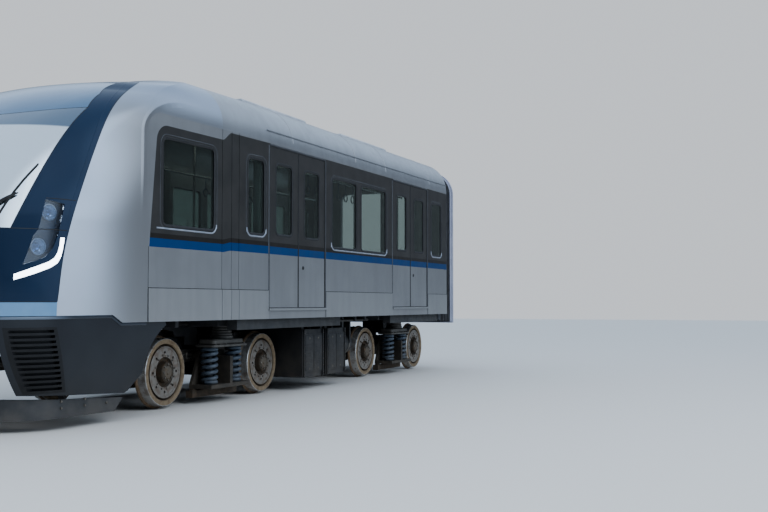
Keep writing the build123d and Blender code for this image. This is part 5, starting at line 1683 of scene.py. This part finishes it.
# place ahead, distance from the middle, radius of the tank
BANDS = [(3.24, 0.78, 0.164), (3.53, 0.78, 0.164), (3.7, 0.19, 0.159), (4.65, 0.19, 0.159)]
LONG_RUN = [(0.35, 0.905), (1.8, 0.905), (2.9, 0.900), (4.4, 0.900), (5.6, 0.905), (7.4, 0.905)]
# distance from the middle, radius, the stretch of the long run that it follows
CONDUITS = [(1.085, 0.018, LONG_RUN[2:5]), (1.035, 0.014, LONG_RUN[2:5]), (0.990, 0.014, LONG_RUN[2:4]),
            (0.600, 0.020, LONG_RUN)]
DROPS = (3.95, 4.15, 4.65, 4.85)
DROP_ROUTE = [(1.035, 0.90), (1.015, 0.86), (0.99, 0.795)]
GLAND = [(0.0, 0.024), (0.018, 0.024), (0.022, 0.019), (0.040, 0.018)]
bands, conduits = Piece("tank_bands"), Piece("underfloor_conduits")
for side in (-1, 1):
    for u, y, r in BANDS:
        band = [(-0.018, r), (-0.018, r + 0.006), (0.018, r + 0.006), (0.018, r)]
        bands.grid(turned(band, (ahead(u), side * y, TANK_Z), FORWARD, 36), ring=True)
    for y, radius, run in CONDUITS:
        path = smooth_path([(ahead(u), side * y, z) for u, z in run], 10)
        conduits.grid(tube(path, radius, 8))
    for u in DROPS:
        drop = smooth_path([(ahead(u), side * y, z) for y, z in DROP_ROUTE], 6)
        conduits.grid(tube(drop, 0.016, 8, up=FORWARD))
        conduits.grid(turned(GLAND, (ahead(u), side * 0.99, 0.797), UP, 12))
bands.make(UNDER["bolt_steel"], "underframe_grey")
conduits.make(UNDER["pipe_paint"], "underframe_grey")


# %% [markdown]
# ## Coupler
#
# The automatic coupler's face has a guiding rim, air nozzles and bolts, and a collar stands round
# the shank behind it. They are small turned parts set on the solid, and a pair of hoses hangs
# from the head back to the underframe, riding with the coupler.

# %% Face details of the coupler
COUPLER_Z = 0.560
face_x = ahead(10.380)
# section rows: distance ahead of the face, distance outwards from the rim's loop
FACE_RIM = [(-0.004, -0.014), (0.008, -0.014), (0.008, 0.004), (-0.004, 0.004)]
# distance left of the middle, height above the middle of the face, radius
NOZZLES = [(0.0, 0.118, 0.030), (0.0, -0.115, 0.030), (-0.195, 0.10, 0.018), (0.195, -0.10, 0.018)]
COLLAR = [(-0.006, 0.112), (0.0, 0.118), (0.10, 0.118), (0.106, 0.112)]
COUPLER_HOSE = [(10.15, 0.16, 0.70), (10.05, 0.17, 0.60), (9.85, 0.18, 0.50), (9.62, 0.17, 0.52),
                (9.48, 0.13, 0.62)]
coupler_parts, coupler_hoses = Piece("coupler_fittings"), Piece("coupler_hoses")
rim = rounded_loop(-0.222, 0.222, COUPLER_Z - 0.162, COUPLER_Z + 0.162, 0.055, 5)
coupler_parts.grid(cross_band(*rim, face_x, FACE_RIM), ring=True)
for y, z, size in NOZZLES:
    nozzle = [(-0.002, size), (0.014, size), (0.018, size * 0.8), (0.018, size * 0.45), (0.004, size * 0.4),
              (0.004, 0.001)]
    coupler_parts.grid(turned(nozzle, (face_x, y, COUPLER_Z + z), FORWARD, 20))
bolts_on(coupler_parts, (face_x, 0.0, COUPLER_Z), FORWARD, 0.205, 4, 1.0, 0.62)
coupler_parts.grid(turned(COLLAR, (ahead(9.95), 0, COUPLER_Z), FORWARD, 32))
bolts_on(coupler_parts, (ahead(9.80), 0, COUPLER_Z), FORWARD, 0.088, 8, 0.9)
for side in (-1, 1):
    hose = smooth_path([(ahead(u), side * y, z) for u, y, z in COUPLER_HOSE])
    coupler_hoses.grid(tube(hose, 0.019, 10))
coupler_parts.make(UNDER["bolt_steel"], "coupler_steel", "coupler")
coupler_hoses.make(RUBBER, "motor_dark", "coupler")


# %% [markdown]
# ## Black shade screens behind the louvres
#
# Behind the bumper's louvres lies a fine black screen, so that no daylight shows through them: a
# dark sheet that paints the shade inside the bumper. It is a thin shell whose rows are cast onto
# the inner side of the louvres, where their bars are. A row of bolts holds the plough band to its
# brackets.

# %% Black shade screens and plough bolts
# heights at which the grille has a bar or its frame, for casting onto its inner side
BAR_HEIGHTS = (0.357, 0.450, 0.550, 0.700, 0.932)
GRILLE_INNER_Y = 0.925
SHADE_SCREEN_DEPTHS = (0.003, 0.008)
GRILLE = surface_of("front_grilles", "bumper_valance")
PLOUGH = surface_of("obstacle_deflector")
PLOUGH_BOLTS = [(u, z) for u in (9.05, 9.35, 9.65) for z in (0.20, 0.26)]
# the black screens are painted shade: a dark sheet standing in for the shade inside the bumper
shade_screens, plough_bolts = Piece("grille_shade_screens"), Piece("plough_bolts")


def shade_screen_row(height, side, depth):
    """Twelve points behind the grille at one height: rays from under the cab meet its inner
    side, and each place is drawn back by the depth."""
    origins, way = around_cab(height, side * np.radians(np.linspace(26, 50, 97)), 0.9)
    places, normals = cast(GRILLE, origins, way)
    back = ahead(9.652 + 0.336 * (height - 0.345) - 0.012)
    kept = (np.abs(places[:, 1]) > GRILLE_INNER_Y) & (places[:, 0] > back)
    pick = np.linspace(0, kept.sum() - 1, 12).round().astype(int)
    return (places + depth * normals)[kept][pick]


for side in (-1, 1):
    front_face, back_face = (np.stack([shade_screen_row(z, side, depth) for z in BAR_HEIGHTS])
                             for depth in SHADE_SCREEN_DEPTHS)
    shade_screens.grid(np.concatenate([front_face, back_face[:, ::-1]], axis=1))
    for place, way in zip(*from_side(PLOUGH, PLOUGH_BOLTS, side)):
        across = np.cross(way, UP)
        bolts_on(plough_bolts, place, way, across=across / np.linalg.norm(across))
shade_screens.make(GRILLE_BLACK, "grille_black")
plough_bolts.make(UNDER["bolt_steel"], "frame_grey")


# %% [markdown]
# ## Inside the saloon
#
# The panes are clear enough to look through, so the saloon needs what the eye expects there: two
# rows of ceiling lamps, a strip of floor covering, hanging grips on the rails and pillars beside
# the doors. The lamps are a plain glowing material, and they also light the ceiling.

# %% Values of the saloon
FLOOR_Z = 1.075
RAIL_Z = 2.950
POLE_Y = 0.760
SALOON_HALF = 1.262
LAMP_ROW_Y = 0.50
LAMP_SPANS = [(0.35, 2.25), (2.45, 4.35), (4.55, 6.30)]
GRIP_PLACES = np.arange(2.75, 4.75, 0.25)
STRAP = (0.016, 0.10, 0.16)
GRIP_R = 0.055
CEILING_LAMP = finish("ceiling_lamp", (0.95, 0.95, 0.92), 0.4, waves=(0.0, 0.02),
                      Emission_Color=(1.0, 0.97, 0.90), Emission_Strength=2.2)
FLOOR_COVER = finish("floor_covering", two_tones((0.085, 0.095, 0.11), (0.13, 0.14, 0.155), 60.0), 0.6,
                     waves=(0.0, 0.3))
PILLAR_LINING = finish("pillar_lining", two_tones((0.42, 0.43, 0.44), (0.48, 0.49, 0.50), 4.0), 0.5)
print("grips on each side", len(GRIP_PLACES))

# %% Ceiling lamps, floor covering, grips and door pillars
lamps, grips, pillars, covering = (Piece(name) for name in ("ceiling_lamps", "hanging_grips", "door_pillars",
                                                            "floor_covering"))
ceiling = float(roof_height(LAMP_ROW_Y)) - 0.062
t = np.linspace(0, 2 * np.pi, 19)
for side in (-1, 1):
    y = side * LAMP_ROW_Y
    for u0, u1 in LAMP_SPANS:
        lamps.grid(block((ahead(u0), y - 0.05, ceiling - 0.030), (ahead(u1), y + 0.05, ceiling), 0.008, 0.02))
    for x in ahead(GRIP_PLACES):
        strap = smooth_path([(x, side * POLE_Y, RAIL_Z - drop) for drop in STRAP], 3)
        grips.grid(tube(strap, 0.007, 6, up=FORWARD))
        loop = np.column_stack([x + GRIP_R * np.sin(t), np.full(19, side * POLE_Y),
                                RAIL_Z - 0.215 + GRIP_R * np.cos(t)])
        grips.grid(tube(loop, 0.008, 6, up=(0, 1, 0)))
    for door in DOORS:
        for turn in (-1, 1):
            x = ahead(door + turn * (DOOR_HALF + 0.075))
            pillars.grid(block((x - 0.05, side * 1.155, FLOOR_Z), (x + 0.05, side * SALOON_HALF, 3.08),
                               0.006, 0.025))
covering.grid(block((ahead(0.10), -SALOON_HALF, FLOOR_Z), (ahead(6.4), SALOON_HALF, FLOOR_Z + 0.004),
                    0.001, 0.02))
lamps.make(CEILING_LAMP, "lamp_strip")
grips.make(SEAT_SHELL, "seat_blue")
pillars.make(PILLAR_LINING, "roof_grey")
covering.make(FLOOR_COVER, "floor_plate")


# %% [markdown]
# ## Stage, light and camera
#
# A pale floor lies at the level of the wheel flanges. The light is a soft overcast sky: bright
# overhead and darker at the horizon, so that the silver flank and the gloss front have something
# to mirror, with a brighter opening in the clouds that the rounded flank of the cab mirrors. The
# camera itself, and what passes through the panes, sees an even pale backdrop. Two broad lamps,
# high on the camera's side, model the flank and the nose. The camera stands where the photograph
# was taken, low beside the nose, and looks back along the car.

# %% Floor
FLOOR_HALF = 60.0
FLOOR_STEPS = 13
t = np.linspace(-FLOOR_HALF, FLOOR_HALF, FLOOR_STEPS)
grid_x, grid_y = np.meshgrid(t, t, indexing="ij")
floor_points = np.stack([grid_x, grid_y, 0 * grid_x - 0.001], axis=-1).reshape(-1, 3)
index = np.arange(FLOOR_STEPS ** 2).reshape(FLOOR_STEPS, FLOOR_STEPS)
floor_faces = np.stack([index[:-1, :-1], index[1:, :-1], index[1:, 1:], index[:-1, 1:]], axis=-1)
floor_mesh = bpy.data.meshes.new("studio_floor")
floor_mesh.from_pydata(floor_points.tolist(), [], floor_faces.reshape(-1, 4).tolist())
floor = bpy.data.objects.new("studio_floor", floor_mesh)
bpy.context.scene.collection.objects.link(floor)
floor_mesh.materials.append(finish("pale_floor", (0.64, 0.61, 0.57), 0.75))
print("floor of", 2 * FLOOR_HALF, "m")

# %% Overcast sky
HORIZON = (0.13, 0.145, 0.17)
OVERHEAD = (0.74, 0.90, 1.12)
OPENING = (1.50, 1.80, 2.20)
BACKDROP = (0.62, 0.65, 0.69)
OPENING_WAY = tuple(Vector((0.12, 0.93, 0.34)).normalized())
world = bpy.data.worlds.new("overcast")
bpy.context.scene.world = world
world.use_nodes = True
sky = Wiring(world.node_tree)
way = sky.add("ShaderNodeTexCoord").outputs["Generated"]
upright = sky.add("ShaderNodeSeparateXYZ")
sky.feed(upright.inputs[0], way)
overcast = sky.blend(sky.ramp(upright.outputs[2], 0.14, 0.50), HORIZON, OVERHEAD)
# share of a direction in that of the opening: their dot product
towards = sky.add("ShaderNodeVectorMath", operation="DOT_PRODUCT")
sky.feed(towards.inputs[0], way)
towards.inputs[1].default_value = OPENING_WAY
overcast = sky.blend(sky.ramp(towards.outputs["Value"], 0.72, 0.98), overcast, OPENING)
rays = sky.add("ShaderNodeLightPath").outputs
seen = sky.maths("MAXIMUM", rays["Is Camera Ray"], rays["Is Transmission Ray"])
sky.feed(world.node_tree.nodes["Background"].inputs["Color"], sky.blend(seen, overcast, BACKDROP))
print("nodes of the sky", len(world.node_tree.nodes))


# %% Lamps and camera
def lamp(name, place, aim, size, power):
    """Square lamp at a place, turned to look at another."""
    light = bpy.data.lights.new(name, "AREA")
    light.size = size
    light.energy = power
    made = bpy.data.objects.new(name, light)
    made.location = place
    made.rotation_euler = (Vector(aim) - Vector(place)).to_track_quat("-Z", "Y").to_euler()
    made.visible_glossy = False
    bpy.context.scene.collection.objects.link(made)


lamp("flank_lamp", (6.0, 15.0, 11.0), (1.0, 0.0, 1.5), 9.0, 700.0)
lamp("nose_lamp", (17.0, 3.0, 9.0), (5.0, 0.0, 1.8), 6.0, 350.0)

CAMERA_PLACE = (12.115, 7.375, 1.148)
CAMERA_WAY = Vector((-0.9203, -0.3885, 0.0455))
FOCAL_LENGTH = 48.42
camera_data = bpy.data.cameras.new("camera")
camera_data.lens = FOCAL_LENGTH
camera_data.sensor_width = 36.0
camera_data.clip_end = 300.0
camera = bpy.data.objects.new("camera", camera_data)
camera.location = CAMERA_PLACE
camera.rotation_euler = CAMERA_WAY.to_track_quat("-Z", "Y").to_euler()
bpy.context.scene.collection.objects.link(camera)
bpy.context.scene.camera = camera
bpy.context.scene.view_settings.look = "AgX - Medium High Contrast"
print("camera at", CAMERA_PLACE, "lens", FOCAL_LENGTH)
